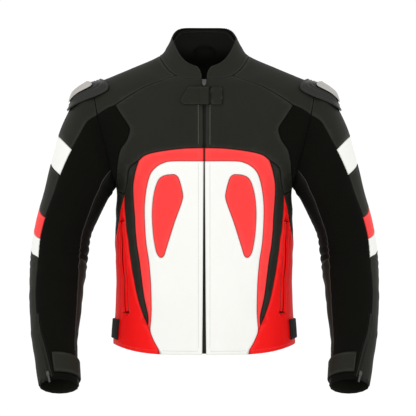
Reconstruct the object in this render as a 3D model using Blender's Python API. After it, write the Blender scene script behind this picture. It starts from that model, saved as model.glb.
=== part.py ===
"""Leather riding jacket: every sewn panel, zip, strap and guard as its own closed solid.

Metres in the scene, millimetres in this file. +Z is up, the wearer faces -Y and the wearer's
left is +X. The origin lies under the crown of the hanger loop, inside the back of the neck.
"""

import math

import bmesh
import bpy
import numpy as np
from mathutils import Vector
from mathutils.bvhtree import BVHTree
from mathutils.geometry import delaunay_2d_cdt

# ---------------------------------------------------------------- driving dimensions, mm
CHEST_WIDTH = 354.0  # flat width just under the arms
BODY_LENGTH = 618.0  # hanger loop to the front hem
SLEEVE_DEPTH = 1.0  # fullness of the sleeves from front to back
LEATHER = 2.4  # panel thickness with its backing
LINING = 1.2
SEAM_GAP = 0.4  # clear space between two sewn panels
LINING_GAP = 4.0  # the padding between leather and lining
ZIP_GAP = 5.6  # between the two leather edges over the main zip
STRAP = 2.9  # thickness of the waist and cuff straps
STRAP_GAP = 1.4
CUP_RISE = 9.0  # dome of the shoulder cup over its flange
CUP_FLANGE = 2.6
CUP_GAP = 1.8
PUCKER = 20.0  # longest edge along a seam
PITCH = 36.0  # spacing of the points inside a panel

WIDE = CHEST_WIDTH / 354.0
LONG = BODY_LENGTH / 618.0
HOOK_Y = 42.0 * WIDE

# Rings of the body from the collar's top edge (-2) over the neck seam (0) to the hem (14):
# half width, back depth, height in front, at the side and behind, roundness of the rise, squareness
BODY_RINGS = np.array(
    [
        (66, 54, -43, 14, 36, 3.0, 2.0),
        (75, 57, -56, -3, 12, 3.5, 2.0),
        (90, 60, -69, -22, -12, 4.0, 2.0),
        (143, 84, -82, -46, -34, 3.0, 2.1),
        (183, 100, -96, -62, -58, 3.0, 2.2),
        (222, 113, -114, -82, -90, 2.5, 2.3),
        (242, 121, -136, -116, -122, 2.0, 2.4),
        (243, 126, -162, -158, -160, 2.0, 2.5),
        (232, 128, -202, -200, -200, 2.0, 2.5),
        (206, 128, -246, -245, -245, 2.0, 2.5),
        (177, 126, -285, -284, -284, 2.0, 2.5),
        (176.5, 122, -341, -340, -340, 2.0, 2.5),
        (178, 117, -411, -410, -410, 2.0, 2.5),
        (175.5, 113, -476, -474, -475, 3.0, 2.5),
        (178, 113, -538, -532, -536, 4.0, 2.5),
        (181, 115, -580, -568, -574, 4.0, 2.5),
        (182, 117, -618, -597, -610, 4.0, 2.5),
    ]
)
HEM = 14
FRONT_DEPTH = 98.0 * WIDE  # at the neck seam
FRONT_LEAN = 0.0437  # the front edge comes forward by this much as it drops
COLLAR_LEAN = 0.55  # and goes back by this much as the collar rises

# Rings of the sleeve from the armhole (0) to the cuff (12): inner x, z, outer x, z, half depth,
# forward shift and forward tilt in degrees
SLEEVE_RINGS = np.array(
    [
        (177.6, -284, 222.6, -82, 75, 0, 0),
        (180, -291, 255, -103, 79, 0, 0),
        (184, -297, 283, -158, 81, 0, 0),
        (189, -303, 305, -228, 80, 2, 0),
        (197, -318, 320, -290, 76, 4, 0),
        (213, -350, 336, -346, 71, 6, 2),
        (226, -382, 343, -385, 68, 6, 5),
        (232, -414, 347, -417, 66, 2, 9),
        (236, -446, 349, -446, 63, -8, 15),
        (243, -510, 349, -510, 58, -36, 22),
        (250, -574, 345, -574, 51, -68, 26),
        (252, -618, 339, -618, 45, -90, 26),
        (248, -680, 328, -680, 39, -119, 25),
    ]
)
ELBOW = 7.7
CUFF = 12

BLACK = (0.028, 0.029, 0.024)
FABRIC = (0.012, 0.012, 0.010)
WHITE = (0.93, 0.93, 0.90)
RED = (0.86, 0.05, 0.05)
GREY = (0.40, 0.37, 0.34)
STEEL = (0.30, 0.30, 0.30)

CREASES = {}  # shared edge normals where two differently sloped surfaces meet
BUILT = {}  # name: points and faces in mm, for pieces that lie on other pieces


# ---------------------------------------------------------------- surfaces
def spline(rows, at):
    """Smooth curve through the rows at 0, 1, 2, ..."""
    at = np.clip(at, 0, len(rows) - 1)
    low = np.minimum(np.floor(at).astype(int), len(rows) - 2)
    f = (at - low)[:, None]
    a, b = rows[np.maximum(low - 1, 0)], rows[low]
    c, d = rows[low + 1], rows[np.minimum(low + 2, len(rows) - 1)]
    return 0.5 * (2 * b + (c - a) * f + (2 * a - 5 * b + 4 * c - d) * f**2 + (3 * b - a - 3 * c + d) * f**3)


def front_depth(height):
    top = BODY_RINGS[2, 2] * LONG
    rise = height - top
    return FRONT_DEPTH - np.where(rise > 0, COLLAR_LEAN, FRONT_LEAN) * rise


def body(angle, ring):
    """Points of the body: angle 0 in front, 90 at the wearer's left side, 180 behind."""
    angle, ring = np.broadcast_arrays(np.radians(angle), ring)
    half, back, low, side, high, rise, square = spline(BODY_RINGS, ring + 2.0).T
    s, c = np.sin(angle), np.cos(angle)
    reach = (np.abs(s) ** square + np.abs(c) ** square) ** (-1 / square)
    drop = 1 - np.abs(s * reach) ** rise
    z = LONG * (side + (np.where(c > 0, low, high) - side) * drop)
    depth = np.where(c > 0, front_depth(low * LONG), back * WIDE)
    return np.stack([half * WIDE * s * reach, -depth * c * reach, z], axis=1)


def crossing(test, low, high, size):
    """Where a rising test turns positive between low and high, for many points at once."""
    low, high = np.full(size, float(low)), np.full(size, float(high))
    for _ in range(34):
        middle = (low + high) / 2
        above = test(middle) > 0
        high, low = np.where(above, middle, high), np.where(above, low, middle)
    return (low + high) / 2


def locate(points, behind=False):
    """Angle and ring of the points (x, z) seen from the front or from behind."""
    points = np.array(points, dtype=float).reshape(-1, 2) * (WIDE, LONG)
    x, z = points.T

    def ring_at(angle):
        return crossing(lambda r: z - body(angle, r)[:, 2], 0, HEM, len(x))

    def turned(angle):
        return 180 - angle if behind else angle

    angle = crossing(lambda a: body(turned(a), ring_at(turned(a)))[:, 0] - x, 0, 90, len(x))
    return list(zip(turned(angle), ring_at(turned(angle))))


def armhole(psi):
    """Angle and ring on the body for the armhole: 0 on top, 90 in front, 180 at the armpit."""
    top, low = SLEEVE_RINGS[0, 3], SLEEVE_RINGS[0, 1]
    z = (top + low) / 2 + (top - low) / 2 * math.cos(math.radians(psi))
    outer, inner = SLEEVE_RINGS[0, 2] - 0.6, SLEEVE_RINGS[0, 0] - 1.8
    x = outer - (outer - inner) * ((top - z) / (top - low)) ** 1.35
    if psi in (0, 180, 360):
        return 90.0, locate([(2 * x, z)])[0][1]
    return locate([(x, z)], behind=psi > 180)[0]


ARM_STOPS = (0, 66, 132, 165, 180, 245, 290, 360)


def stops_between(start, end, step=11.0):
    """The angles used along the armhole from start to end, the same for every piece that meets it."""
    found = []
    for low, high in zip(ARM_STOPS, ARM_STOPS[1:]):
        count = max(1, round((high - low) / step))
        found += [low + (high - low) * i / count for i in range(count)]
    found.append(360.0)
    low, high = min(start, end), max(start, end)
    inside = [a for a in found if low - 1e-6 <= a <= high + 1e-6]
    return inside if start < end else inside[::-1]


ARM_ANGLES = stops_between(0, 360)
ARM_RINGS = np.array([armhole(a) for a in ARM_ANGLES])
ARM_POINTS = body(ARM_RINGS[:, 0], ARM_RINGS[:, 1])


def plain_sleeve(psi, ring):
    rows = spline(SLEEVE_RINGS, ring)
    inner = np.stack([rows[:, 0] * WIDE, 0 * rows[:, 5], rows[:, 1] * LONG], axis=1)
    outer = np.stack([rows[:, 2] * WIDE, 0 * rows[:, 5], rows[:, 3] * LONG], axis=1)
    middle, half = (inner + outer) / 2, (outer - inner) / 2
    middle[:, 1] = rows[:, 5]
    tilt = np.radians(rows[:, 6])
    forward = np.stack([0 * tilt, -np.cos(tilt), np.sin(tilt)], axis=1)
    depth = (rows[:, 4] * WIDE * SLEEVE_DEPTH)[:, None]
    turn = np.radians(psi)[:, None]
    return middle + half * np.cos(turn) + forward * depth * np.sin(turn)


def sleeve(psi, ring):
    """Points of the left sleeve: psi 0 outside, 90 in front, 180 inside; ring 0 is the armhole."""
    psi, ring = np.broadcast_arrays(np.asarray(psi, float), np.asarray(ring, float))
    turn = np.mod(psi, 360)
    shift = ARM_POINTS - plain_sleeve(np.array(ARM_ANGLES), np.zeros(len(ARM_ANGLES)))
    hold = 1 - np.clip(ring / 1.6, 0, 1) ** 2 * (3 - 2 * np.clip(ring / 1.6, 0, 1))
    fix = np.stack([np.interp(turn, ARM_ANGLES, shift[:, i]) for i in range(3)], axis=1)
    return plain_sleeve(psi, ring) + fix * hold[:, None]


class Skin:
    """A surface with two parameters, and a flat chart of it that keeps the sense of rotation."""

    def __init__(self, surface, chart_x, chart_y, sign, lows, highs):
        self.surface, self.chart_x, self.chart_y = surface, chart_x, chart_y
        self.sign, self.lows, self.highs = sign, lows, highs

    def chart(self, points):
        return np.array(points, dtype=float) * (self.chart_x, self.chart_y)

    def points(self, params):
        params = np.array(params, dtype=float)
        return self.surface(params[:, 0], params[:, 1])

    def normals(self, params):
        params = np.array(params, dtype=float)
        u, v = params.T
        up = np.clip(v + 0.03, self.lows, self.highs)
        down = np.clip(v - 0.03, self.lows, self.highs)
        along = self.surface(u + 0.5, v) - self.surface(u - 0.5, v)
        across = self.surface(u, up) - self.surface(u, down)
        normal = np.cross(across, along) * self.sign
        return normal / np.linalg.norm(normal, axis=1)[:, None]


BODY = Skin(body, 2.8 * WIDE, -45.0 * LONG, 1, -2, HEM)
SLEEVE = Skin(sleeve, -1.1 * WIDE, -55.0 * LONG, -1, 0, CUFF)


def note_creases():
    """The body and the sleeve slope differently at the armhole, so both use their mean there."""
    on_sleeve = [(a, 0.0) for a in ARM_ANGLES]
    mean = BODY.normals(ARM_RINGS) + SLEEVE.normals(on_sleeve)
    mean /= np.linalg.norm(mean, axis=1)[:, None]
    for point, normal in zip(ARM_POINTS, mean):
        CREASES[tuple(np.round(point, 2))] = normal


# ---------------------------------------------------------------- seams
def divided(skin, params, step=None):
    """The same line with points close enough together to follow the surface."""
    step = step or PUCKER
    found = [tuple(params[0])]
    places = skin.points(params)
    for i in range(len(params) - 1):
        count = max(1, math.ceil(np.linalg.norm(places[i + 1] - places[i]) / step))
        a, b = np.array(params[i]), np.array(params[i + 1])
        found += [tuple(a + (b - a) * (k + 1) / count) for k in range(count)]
    return found


def curve(points, step=None):
    """A smooth line through flat points, at even steps."""
    step = step or PUCKER
    points = np.array(points, dtype=float)
    fine = spline(points, np.linspace(0, len(points) - 1, 24 * len(points)))
    run = np.concatenate([[0], np.cumsum(np.linalg.norm(np.diff(fine, axis=0), axis=1))])
    count = max(1, round(run[-1] / step))
    even = np.linspace(0, run[-1], count + 1)
    return np.stack([np.interp(even, run, fine[:, i]) for i in range(2)], axis=1)


def seam(points, start=None, end=None, step=None):
    """A seam drawn from the front through points (x, z), as angles and rings of the body."""
    found = locate(curve(points, step))
    if start is not None:
        found[0] = start
    if end is not None:
        found[-1] = end
    return found


def angle_at(x, ring):
    """The body angle in front where a ring reaches the half width x."""
    return crossing(lambda a: body(a, np.full(1, float(ring)))[:, 0] - x * WIDE, 0, 90, 1)[0]


def arm(start, end):
    wanted = stops_between(start, end)
    return [tuple(ARM_RINGS[ARM_ANGLES.index(a)]) for a in wanted]


def mirrored(params):
    return [(360 - u, v) for u, v in params]


def join(*lines):
    """One closed outline from lines that meet end to end."""
    outline = []
    for line in lines:
        for point in line:
            if not outline or np.linalg.norm(np.subtract(point, outline[-1])) > 1e-6:
                outline.append(tuple(point))
    if np.linalg.norm(np.subtract(outline[0], outline[-1])) < 1e-6:
        outline.pop()
    return outline


def back(line):
    return line[::-1]


# ---------------------------------------------------------------- objects
def start_scene():
    for old in list(bpy.data.objects):
        bpy.data.objects.remove(old, do_unlink=True)
    for old in list(bpy.data.collections):
        bpy.data.collections.remove(old)
    jacket = bpy.data.collections.new("leather_riding_jacket")
    cutters = bpy.data.collections.new("cutters")
    cutters.hide_render = True
    bpy.context.scene.collection.children.link(jacket)
    bpy.context.scene.collection.children.link(cutters)
    return jacket, cutters


def paint(obj, colour, roughness, metallic=0.0):
    material = bpy.data.materials.new(obj.name)
    material.use_nodes = True
    shader = material.node_tree.nodes["Principled BSDF"]
    shader.inputs["Base Color"].default_value = (*colour, 1.0)
    shader.inputs["Roughness"].default_value = roughness
    shader.inputs["Metallic"].default_value = metallic
    obj.data.materials.append(material)


def scene_point(point):
    return Vector((point[0], point[1] - HOOK_Y, point[2])) / 1000


def add(name, points, faces, colour, roughness=0.5, metallic=0.0, pivot=None, helper=False):
    """An object from points in mm; its origin goes on the pivot where it moves."""
    place = scene_point(pivot) if pivot is not None else Vector((0, 0, 0))
    mesh = bpy.data.meshes.new(name)
    mesh.from_pydata([scene_point(p) - place for p in points], [], [tuple(f) for f in faces])
    mesh.validate()
    obj = bpy.data.objects.new(name, mesh)
    obj.location = place
    (CUTTERS if helper else JACKET).objects.link(obj)
    if helper:
        obj.hide_render = True
        obj.display_type = "WIRE"
    paint(obj, colour, roughness, metallic)
    BUILT[name] = (np.array(points, dtype=float), [tuple(f) for f in faces])
    return obj


def add_pair(name, points, faces, colour, pivot=None, **look):
    """The left piece and its mirror image on the right."""
    add("left_" + name, points, faces, colour, pivot=pivot, **look)
    flip = np.array([-1, 1, 1])
    other = None if pivot is None else np.array(pivot) * flip
    add("right_" + name, np.array(points) * flip, [f[::-1] for f in faces], colour, pivot=other, **look)


# ---------------------------------------------------------------- panels
def area_of(loop):
    x, y = np.array(loop).T
    return 0.5 * np.sum(x * np.roll(y, -1) - y * np.roll(x, -1))


def is_inside(points, loops):
    """Even-odd test of many points against closed loops."""
    inside = np.zeros(len(points), dtype=bool)
    x, y = points.T
    for loop in loops:
        a, b = loop, np.roll(loop, -1, axis=0)
        for (ax, ay), (bx, by) in zip(a, b):
            hit = (ay > y) != (by > y)
            slope = (bx - ax) / (by - ay) if by != ay else 0.0
            inside ^= hit & (x < (y - ay) * slope + ax)
    return inside


def clear_of(points, loops, distance):
    """Which points stay this far from every loop."""
    good = np.ones(len(points), dtype=bool)
    for loop in loops:
        for a, b in zip(loop, np.roll(loop, -1, axis=0)):
            run = b - a
            f = np.clip(((points - a) @ run) / max(run @ run, 1e-9), 0, 1)
            good &= np.linalg.norm(points - (a + f[:, None] * run), axis=1) > distance
    return good


def filling(loops, pitch):
    """Staggered points inside the loops."""
    low, high = loops[0].min(axis=0), loops[0].max(axis=0)
    rows = []
    for j, y in enumerate(np.arange(low[1] + pitch / 2, high[1], pitch * 0.87)):
        x = np.arange(low[0] + (pitch / 2 if j % 2 else 0), high[0], pitch)
        rows.append(np.stack([x, np.full(len(x), y)], axis=1))
    if not rows:
        return np.zeros((0, 2))
    grid = np.concatenate(rows)
    return grid[is_inside(grid, loops) & clear_of(grid, loops, pitch * 0.5)]


def drawn_in(points, normals, loops, gap):
    """Moves the points of each loop into the panel by half the seam gap."""
    moved = points.copy()
    for loop in loops:
        for i, k in enumerate(loop):
            before, after = points[loop[i - 1]], points[loop[(i + 1) % len(loop)]]
            first = np.cross(normals[k], points[k] - before)
            second = np.cross(normals[k], after - points[k])
            first /= np.linalg.norm(first)
            second /= np.linalg.norm(second)
            middle = first + second
            middle /= max(np.linalg.norm(middle), 1e-6)
            moved[k] = points[k] + middle * gap / max(middle @ first, 0.35)
    return moved


def panel(skin, outline, holes=(), outer=0.0, inner=None, gap=None, pitch=None):
    """Points and faces of an even layer of the skin inside an outline."""
    inner = -LEATHER if inner is None else inner
    gap = SEAM_GAP / 2 if gap is None else gap
    params, loops = [], []
    for k, loop in enumerate([outline, *holes]):
        chart = skin.chart(loop)
        if (area_of(chart) < 0) == (k == 0):
            loop = loop[::-1]
        loops.append(list(range(len(params), len(params) + len(loop))))
        params += list(loop)
    flat = [skin.chart([params[i] for i in loop]) for loop in loops]
    extra = filling(flat, pitch or PITCH)
    params += [tuple(p) for p in extra / (skin.chart_x, skin.chart_y)]
    chart = skin.chart(params)
    edges = [(a, b) for loop in loops for a, b in zip(loop, loop[1:] + loop[:1])]
    result = delaunay_2d_cdt([Vector(p) for p in chart], edges, [], 0, 1e-7)
    sources = [group[0] for group in result[3]]
    faces = [tuple(sources[i] for i in face) for face in result[2]]
    centres = np.array([chart[list(face)].mean(axis=0) for face in faces])
    areas = np.array([area_of(chart[list(face)]) for face in faces])
    keep = is_inside(centres, flat) & (np.abs(areas) > 0.01)
    faces = [f if area > 0 else f[::-1] for f, area, kept in zip(faces, areas, keep) if kept]
    points, normals = skin.points(params), skin.normals(params)
    for i, point in enumerate(points):
        normals[i] = CREASES.get(tuple(np.round(point, 2)), normals[i])
    points = drawn_in(points, normals, loops, gap)
    # The rim's diagonals follow the place, not the panel, so that two neighbours' rims match.
    count = len(points)
    both = np.concatenate([points + normals * outer, points + normals * inner])
    closed = list(faces) + [tuple(i + count for i in f[::-1]) for f in faces]
    rank = points @ np.array([0.37, 0.11, 1.0])
    for a, b in edges:
        if rank[a] > rank[b]:
            closed += [(b, a, b + count), (a, a + count, b + count)]
        else:
            closed += [(b, a, a + count), (b, a + count, b + count)]
    return both, closed


# ---------------------------------------------------------------- straight pieces
class Frame:
    """A straight run: x across it, t down it, n out of the surface."""

    def __init__(self, start, end, out):
        self.start = np.array(start, dtype=float)
        run = np.array(end, dtype=float) - self.start
        self.length = float(np.linalg.norm(run))
        self.down = run / self.length
        out = np.array(out, dtype=float)
        out -= self.down * (out @ self.down)
        self.out = out / np.linalg.norm(out)
        self.across = np.cross(self.out, -self.down)
        self.across *= -1

    def point(self, x, t, n):
        return self.start + self.across * x + self.down * t + self.out * n


def bar(frame, profile, t0, t1):
    """A closed outline (x, n) drawn from t0 to t1."""
    count = len(profile)
    points = [frame.point(x, t, n) for t in (t0, t1) for x, n in profile]
    faces = [tuple(range(count))[::-1], tuple(range(count, 2 * count))]
    faces += [(i, (i + 1) % count, (i + 1) % count + count, i + count) for i in range(count)]
    return facing_out(points, faces)


def facing_out(points, faces):
    """Turns every face of a closed piece outwards."""
    work = bmesh.new()
    verts = [work.verts.new(p) for p in points]
    for face in faces:
        work.faces.new([verts[i] for i in face])
    bmesh.ops.recalc_face_normals(work, faces=work.faces)
    work.verts.index_update()
    turned = [tuple(v.index for v in face.verts) for face in work.faces]
    if work.calc_volume(signed=True) < 0:
        turned = [f[::-1] for f in turned]
    work.free()
    return np.array([list(p) for p in points]), turned


def box_profile(half, low, high):
    return [(-half, low), (half, low), (half, high), (-half, high)]


def unite(name, *others):
    """Joins helper solids to an object."""
    for other in others:
        cut = bpy.data.objects[name].modifiers.new(other, "BOOLEAN")
        cut.operation = "UNION"
        cut.solver = "EXACT"
        cut.object = bpy.data.objects[other]


def subtract(name, *others):
    for other in others:
        cut = bpy.data.objects[name].modifiers.new(other, "BOOLEAN")
        cut.operation = "DIFFERENCE"
        cut.solver = "EXACT"
        cut.object = bpy.data.objects[other]


# ---------------------------------------------------------------- the pattern: seams of the left half
def pattern():
    """Every seam of the left half, by name, as points on the body."""
    half_gap = ZIP_GAP / 2 / WIDE
    p = {}
    neck = [(angle_at(x, 0), 0.0) for x in (half_gap, 4.5, 56)] + [(140.0, 0.0), (180.0, 0.0)]
    p["neck_front"] = [neck[0], *divided(BODY, neck[1:3])]
    p["neck_yoke"] = divided(BODY, neck[2:4])
    p["neck_back"] = divided(BODY, neck[3:5])
    hem = [(angle_at(x, HEM), HEM) for x in (half_gap, 88)] + [(98.0, HEM), (135.0, HEM), (180.0, HEM)]
    for key, a, b in zip(("hem_front", "hem_side", "hem_back_side", "hem_back"), hem, hem[1:]):
        p[key] = divided(BODY, [a, b])

    yoke_corner, arch_corner, side_corner = locate([(178, -121), (130, -231.6), (160, -299)])
    band_tip, arch_tip = locate([(114, -546), (108, -570)])
    yoke = [(56, -62), (105, -79), (135, -94), (178, -121)]
    p["yoke_front"] = seam(yoke, neck[2], yoke_corner)
    p["yoke_end"] = divided(BODY, [yoke_corner, arm(66, 66)[0]])
    gusset = [(178, -121), (166, -140), (150, -164), (149, -175), (155, -192), (166, -207), (171, -222), (174, -250)]
    p["gusset"] = seam([*gusset, (177, -280)], yoke_corner, arm(165, 165)[0])
    p["yoke_back"] = divided(BODY, [neck[3], (138, 1.6), (134, 3.2), arm(290, 290)[0]])

    arch_top, arch_low = locate([(half_gap, -206.6), (half_gap, -233)])
    outer_top = [(half_gap, -206.6), (44, -208), (91, -214), (117, -221), (130, -231.6)]
    p["arch_top"] = seam(outer_top, arch_top, arch_corner)
    outer = [(130, -231.6), (138, -255), (142, -293), (139, -337), (135, -390), (128, -440), (120, -501)]
    p["arch_outer"] = seam([*outer, (114, -546)], arch_corner, band_tip)
    p["arch_tip"] = divided(BODY, [band_tip, arch_tip])
    corner = [(half_gap, -233), (62, -233), (82, -237), (97, -246), (108, -261), (116, -293), (119, -334)]
    leg = [(116, -390), (110, -434), (106, -478), (105, -522), (106, -548), (108, -570)]
    p["arch_inner"] = seam(corner + leg, arch_low, arch_tip)

    p["chest_side"] = seam([(130, -231.6), (146, -243), (152, -254), (154, -276), (160, -299)], arch_corner, side_corner)
    p["armpit"] = divided(BODY, [side_corner, arm(180, 180)[0]])
    inner = [(160, -299), (156, -346), (150, -392), (138, -463), (124, -515), (114, -546)]
    p["side_inner"] = seam(inner, side_corner, band_tip)
    p["front_low"] = seam([(108, -570), (100, -590), (88, -611)], arch_tip, hem[1])
    turn = locate([(167, -334), (172.5, -368)])
    p["side_outer"] = divided(BODY, [side_corner, *turn, (87, 9.9), (94, 11.4), hem[2]])
    p["side_back"] = divided(BODY, [arm(245, 245)[0], (127, 8.6), (131, 11), hem[3]])

    p["zip_chest"] = divided(BODY, [neck[0], arch_top], 60)
    p["zip_arch"] = divided(BODY, [arch_top, arch_low], 60)
    p["zip_front"] = divided(BODY, [arch_low, hem[0]], 60)
    drop = [(62, -259), (79, -262), (91, -271), (100, -296), (104, -334), (101, -375), (94, -413), (86, -425)]
    drop += [(79, -419), (62, -358), (43, -311), (44, -293), (53, -267)]
    p["drop"] = locate(curve([*drop, drop[0]])[:-1])
    return p


def body_panels(p):
    left = {
        "chest_panel": (
            join(p["neck_front"], p["yoke_front"], p["gusset"], arm(165, 180), back(p["armpit"]),
                 back(p["chest_side"]), back(p["arch_top"]), back(p["zip_chest"])), BLACK),
        "armhole_stretch": (join(p["yoke_end"], arm(66, 165), back(p["gusset"])), FABRIC),
        "shoulder_yoke": (
            join(p["neck_yoke"], p["yoke_back"], arm(290, 360), arm(0, 66), back(p["yoke_end"]),
                 back(p["yoke_front"])), BLACK),
        "arch_band": (
            join(p["arch_top"], p["arch_outer"], p["arch_tip"], back(p["arch_inner"]), back(p["zip_arch"])), RED),
        "side_band": (join(p["chest_side"], p["side_inner"], back(p["arch_outer"])), BLACK),
        "front_panel": (join(p["arch_inner"], p["front_low"], back(p["hem_front"]), back(p["zip_front"])), WHITE),
        "chest_insert": (p["drop"], RED),
        "side_panel": (
            join(p["side_outer"], back(p["hem_side"]), back(p["front_low"]), back(p["arch_tip"]),
                 back(p["side_inner"])), RED),
        "back_side_panel": (
            join(back(p["armpit"]), p["side_outer"], p["hem_back_side"], back(p["side_back"]),
                 arm(245, 180)), BLACK),
    }
    holes = {"front_panel": [p["drop"]], "side_panel": [pocket_slot()]}
    for name, (outline, colour) in left.items():
        rough = 0.9 if colour == FABRIC else 0.5
        add_pair(name, *panel(BODY, outline, holes.get(name, ())), colour, roughness=rough)
    half = join(back(p["neck_back"]), p["yoke_back"], arm(290, 245), p["side_back"], p["hem_back"])
    add("back_panel", *panel(BODY, half + mirrored(half[-2:0:-1])), BLACK)


# ---------------------------------------------------------------- collar, lining, hanger
def collar(p):
    top = [(angle_at(8, -1.3), -1.3), (angle_at(14, -1.85), -1.85), (angle_at(24, -2), -2.0)]
    front = [p["neck_front"][1], (angle_at(5.5, -0.8), -0.8), *top]
    rise = divided(BODY, front)
    rim = divided(BODY, [top[-1], (60.0, -2.0), (100.0, -2.0), (140.0, -2.0), (180.0, -2.0)])
    foot = join(p["neck_front"][1:], p["neck_yoke"], p["neck_back"])
    half = join(back(foot), rise, rim)
    add("collar", *panel(BODY, half + mirrored(half[-2:0:-1])), BLACK)


def lining():
    """One soft shell from the collar to just over the hem, with the two armholes open."""
    edge = 17.0
    front = locate([(edge, -590), (edge, -400), (edge, -230), (edge, -90)])
    front += [(angle_at(edge, r), r) for r in (0.0, -1.0)] + [(angle_at(24, -1.8), -1.8)]
    up = divided(BODY, [(angle_at(edge, 13.7), 13.7), *front], 40)
    over = divided(BODY, [front[-1], (90.0, -1.8), (180.0, -1.8)], 32)
    under = divided(BODY, [(180.0, 13.7), (90.0, 13.7), up[0]], 32)
    half = join(back(over), back(up), back(under))
    outline = half + mirrored(half[-2:0:-1])
    loop = []
    for psi in np.arange(0, 360, 24.0):
        angle, ring = armhole(psi)
        loop.append((90 + (angle - 90) * 1.14, 6.3 + (ring - 6.3) * (1.35 if ring > 6.3 else 1.1)))
    outer = -LEATHER - LINING_GAP
    made = panel(BODY, outline, [loop, mirrored(loop)], outer, outer - LINING, gap=0.1, pitch=40.0)
    add("lining", *made, FABRIC, roughness=0.9)


def hanger_loop():
    """A flat loop sewn to the lining behind the neck; its crown carries the jacket."""
    wide, thick, rise = 5.0, 1.2, 15.0
    wall = body(np.array([180.0]), np.array([0.0]))[0]
    foot_y = wall[1] - LEATHER - LINING_GAP - LINING - 2.4
    path = [(20 * math.cos(a), math.sin(a)) for a in np.linspace(0, math.pi, 13)]
    points, faces = [], []
    for x, s in path:
        out = Vector((x / 20, 0, s)).normalized()
        y = foot_y - wide / 2 + (HOOK_Y - foot_y + wide / 2) * s
        inner = Vector((x, y, -rise + rise * s))
        for shift, side in ((0, -0.5), (0, 0.5), (thick, 0.5), (thick, -0.5)):
            points.append(inner + out * shift + Vector((0, wide * side, 0)))
    for i in range(12):
        a, b = 4 * i, 4 * i + 4
        faces += [(a + k, a + (k + 1) % 4, b + (k + 1) % 4, b + k) for k in range(4)]
    faces += [(0, 1, 2, 3), (48, 49, 50, 51)]
    add("hanger_loop", *facing_out(points, faces), BLACK)


def trouser_zip():
    """Half of a zip across the inside of the back, which joins the jacket to riding trousers."""
    behind = body(np.array([180.0]), np.array([13.0]))[0]
    y = behind[1] - LEATHER - LINING_GAP - LINING - 9.0
    start, end = (0, y, -545 * LONG), (0, y, -577 * LONG)
    frame = Frame(start, end, (0, -1, 0))
    half = 78 * WIDE
    add("trouser_zip", *bar(frame, box_profile(half, 0, 1.6), 0, frame.length), FABRIC)
    teeth = bar(frame, box_profile(half - 3, 1.0, 3.0), frame.length - 5, frame.length - 1.5)
    add("trouser_zip_teeth", *teeth, FABRIC, helper=True)
    unite("trouser_zip", "trouser_zip_teeth")


# ---------------------------------------------------------------- main zip and neck tab
def front_frame():
    start, end = body(np.array([0.0, 0.0]), np.array([0.0, float(HEM)]))
    return Frame(start, end, (0, -1, 0))


def main_zip():
    frame = front_frame()
    top, low = 8.0, frame.length - 8
    chain = [(0.2, -2.8), (2.6, -2.8), (2.6, -3.0), (10, -3.0), (10, -3.8), (2.6, -3.8), (2.6, -4.6), (0.2, -4.6)]
    add_pair("zip_tape", *bar(frame, chain, top, low), STEEL)
    add("wind_flap", *bar(frame, box_profile(12.5, -6.6, -5.2), top - 2, low + 5), BLACK)


def main_slider():
    """The slider runs over the leather edges, and its neck reaches down between them."""
    frame = front_frame()
    middle = 6.0
    pivot = frame.point(0, middle, 0)
    plate = [(-1.9, -2.2), (1.9, -2.2), (1.9, 0.5), (4, 0.5), (4, 2.3), (-4, 2.3), (-4, 0.5), (-1.9, 0.5)]
    add("zip_slider", *bar(frame, plate, middle - 4.5, middle + 4.5), STEEL, 0.35, 0.8, pivot)
    hinge = middle - 2.6
    add("zip_slider_post", *bar(frame, box_profile(1.0, 2.0, 4.0), hinge + 1.0, hinge + 2.8), STEEL, helper=True)
    unite("zip_slider", "zip_slider_post")
    axle = frame.point(0, hinge, 3.4)
    pull = bar(frame, box_profile(2.6, 2.85, 3.95), hinge - 0.55, hinge + 10.2)
    add("zip_puller", *pull, STEEL, 0.35, 0.8, axle)
    add("zip_puller_window", *bar(frame, box_profile(1.4, 2, 5), hinge + 0.6, hinge + 4.4), STEEL, helper=True)
    subtract("zip_puller", "zip_puller_window")
    return frame, axle


def neck_tab():
    """A strap that folds over the top of the zip from the left chest to the right one."""
    frame = front_frame()
    top, low = 15.2, 52.0
    rise = [(10.2, 0.6), (7.4, 5.2), (-8.4, 5.2), (-12.5, 1.4), (-31, 0.8), (-40, 0.5), (-48, 0.2)]
    thick = 2.2
    points, faces = [], []
    for i, (x, n) in enumerate(rise):
        start = top + max(0, -31 - x) * 28 / 17
        end = low - max(0, -40 - x) * 7 / 8
        outside = n + thick * (0.8 if i in (1, 2) else 1.0)
        shift = {1: 1.4, 2: -1.4}.get(i, 0)
        points += [frame.point(x, start, n), frame.point(x, end, n)]
        points += [frame.point(x + shift, end, outside), frame.point(x + shift, start, outside)]
    for i in range(len(rise) - 1):
        a, b = 4 * i, 4 * i + 4
        faces += [(a + k, a + (k + 1) % 4, b + (k + 1) % 4, b + k) for k in range(4)]
    end = 4 * (len(rise) - 1)
    faces += [(0, 1, 2, 3), (end, end + 1, end + 2, end + 3)]
    pivot = frame.point(10.6, (top + low) / 2, 3.6)
    add("neck_tab", *facing_out(points, faces), BLACK, pivot=pivot)
    base = [(11.2, -85), (36, -85), (36, -121), (11.2, -121)]
    outline = divided(BODY, locate([*base, base[0]]))[:-1]
    add("neck_tab_base", *panel(BODY, outline, outer=3.0, inner=0.4, gap=0.0), BLACK)
    return pivot


# ---------------------------------------------------------------- pockets
def pocket_frame():
    ends = BODY.points(locate([(164, -358), (157, -528)]))
    middle = BODY.normals(locate([(160, -443)]))[0]
    return Frame(ends[0], ends[1], middle)


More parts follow.
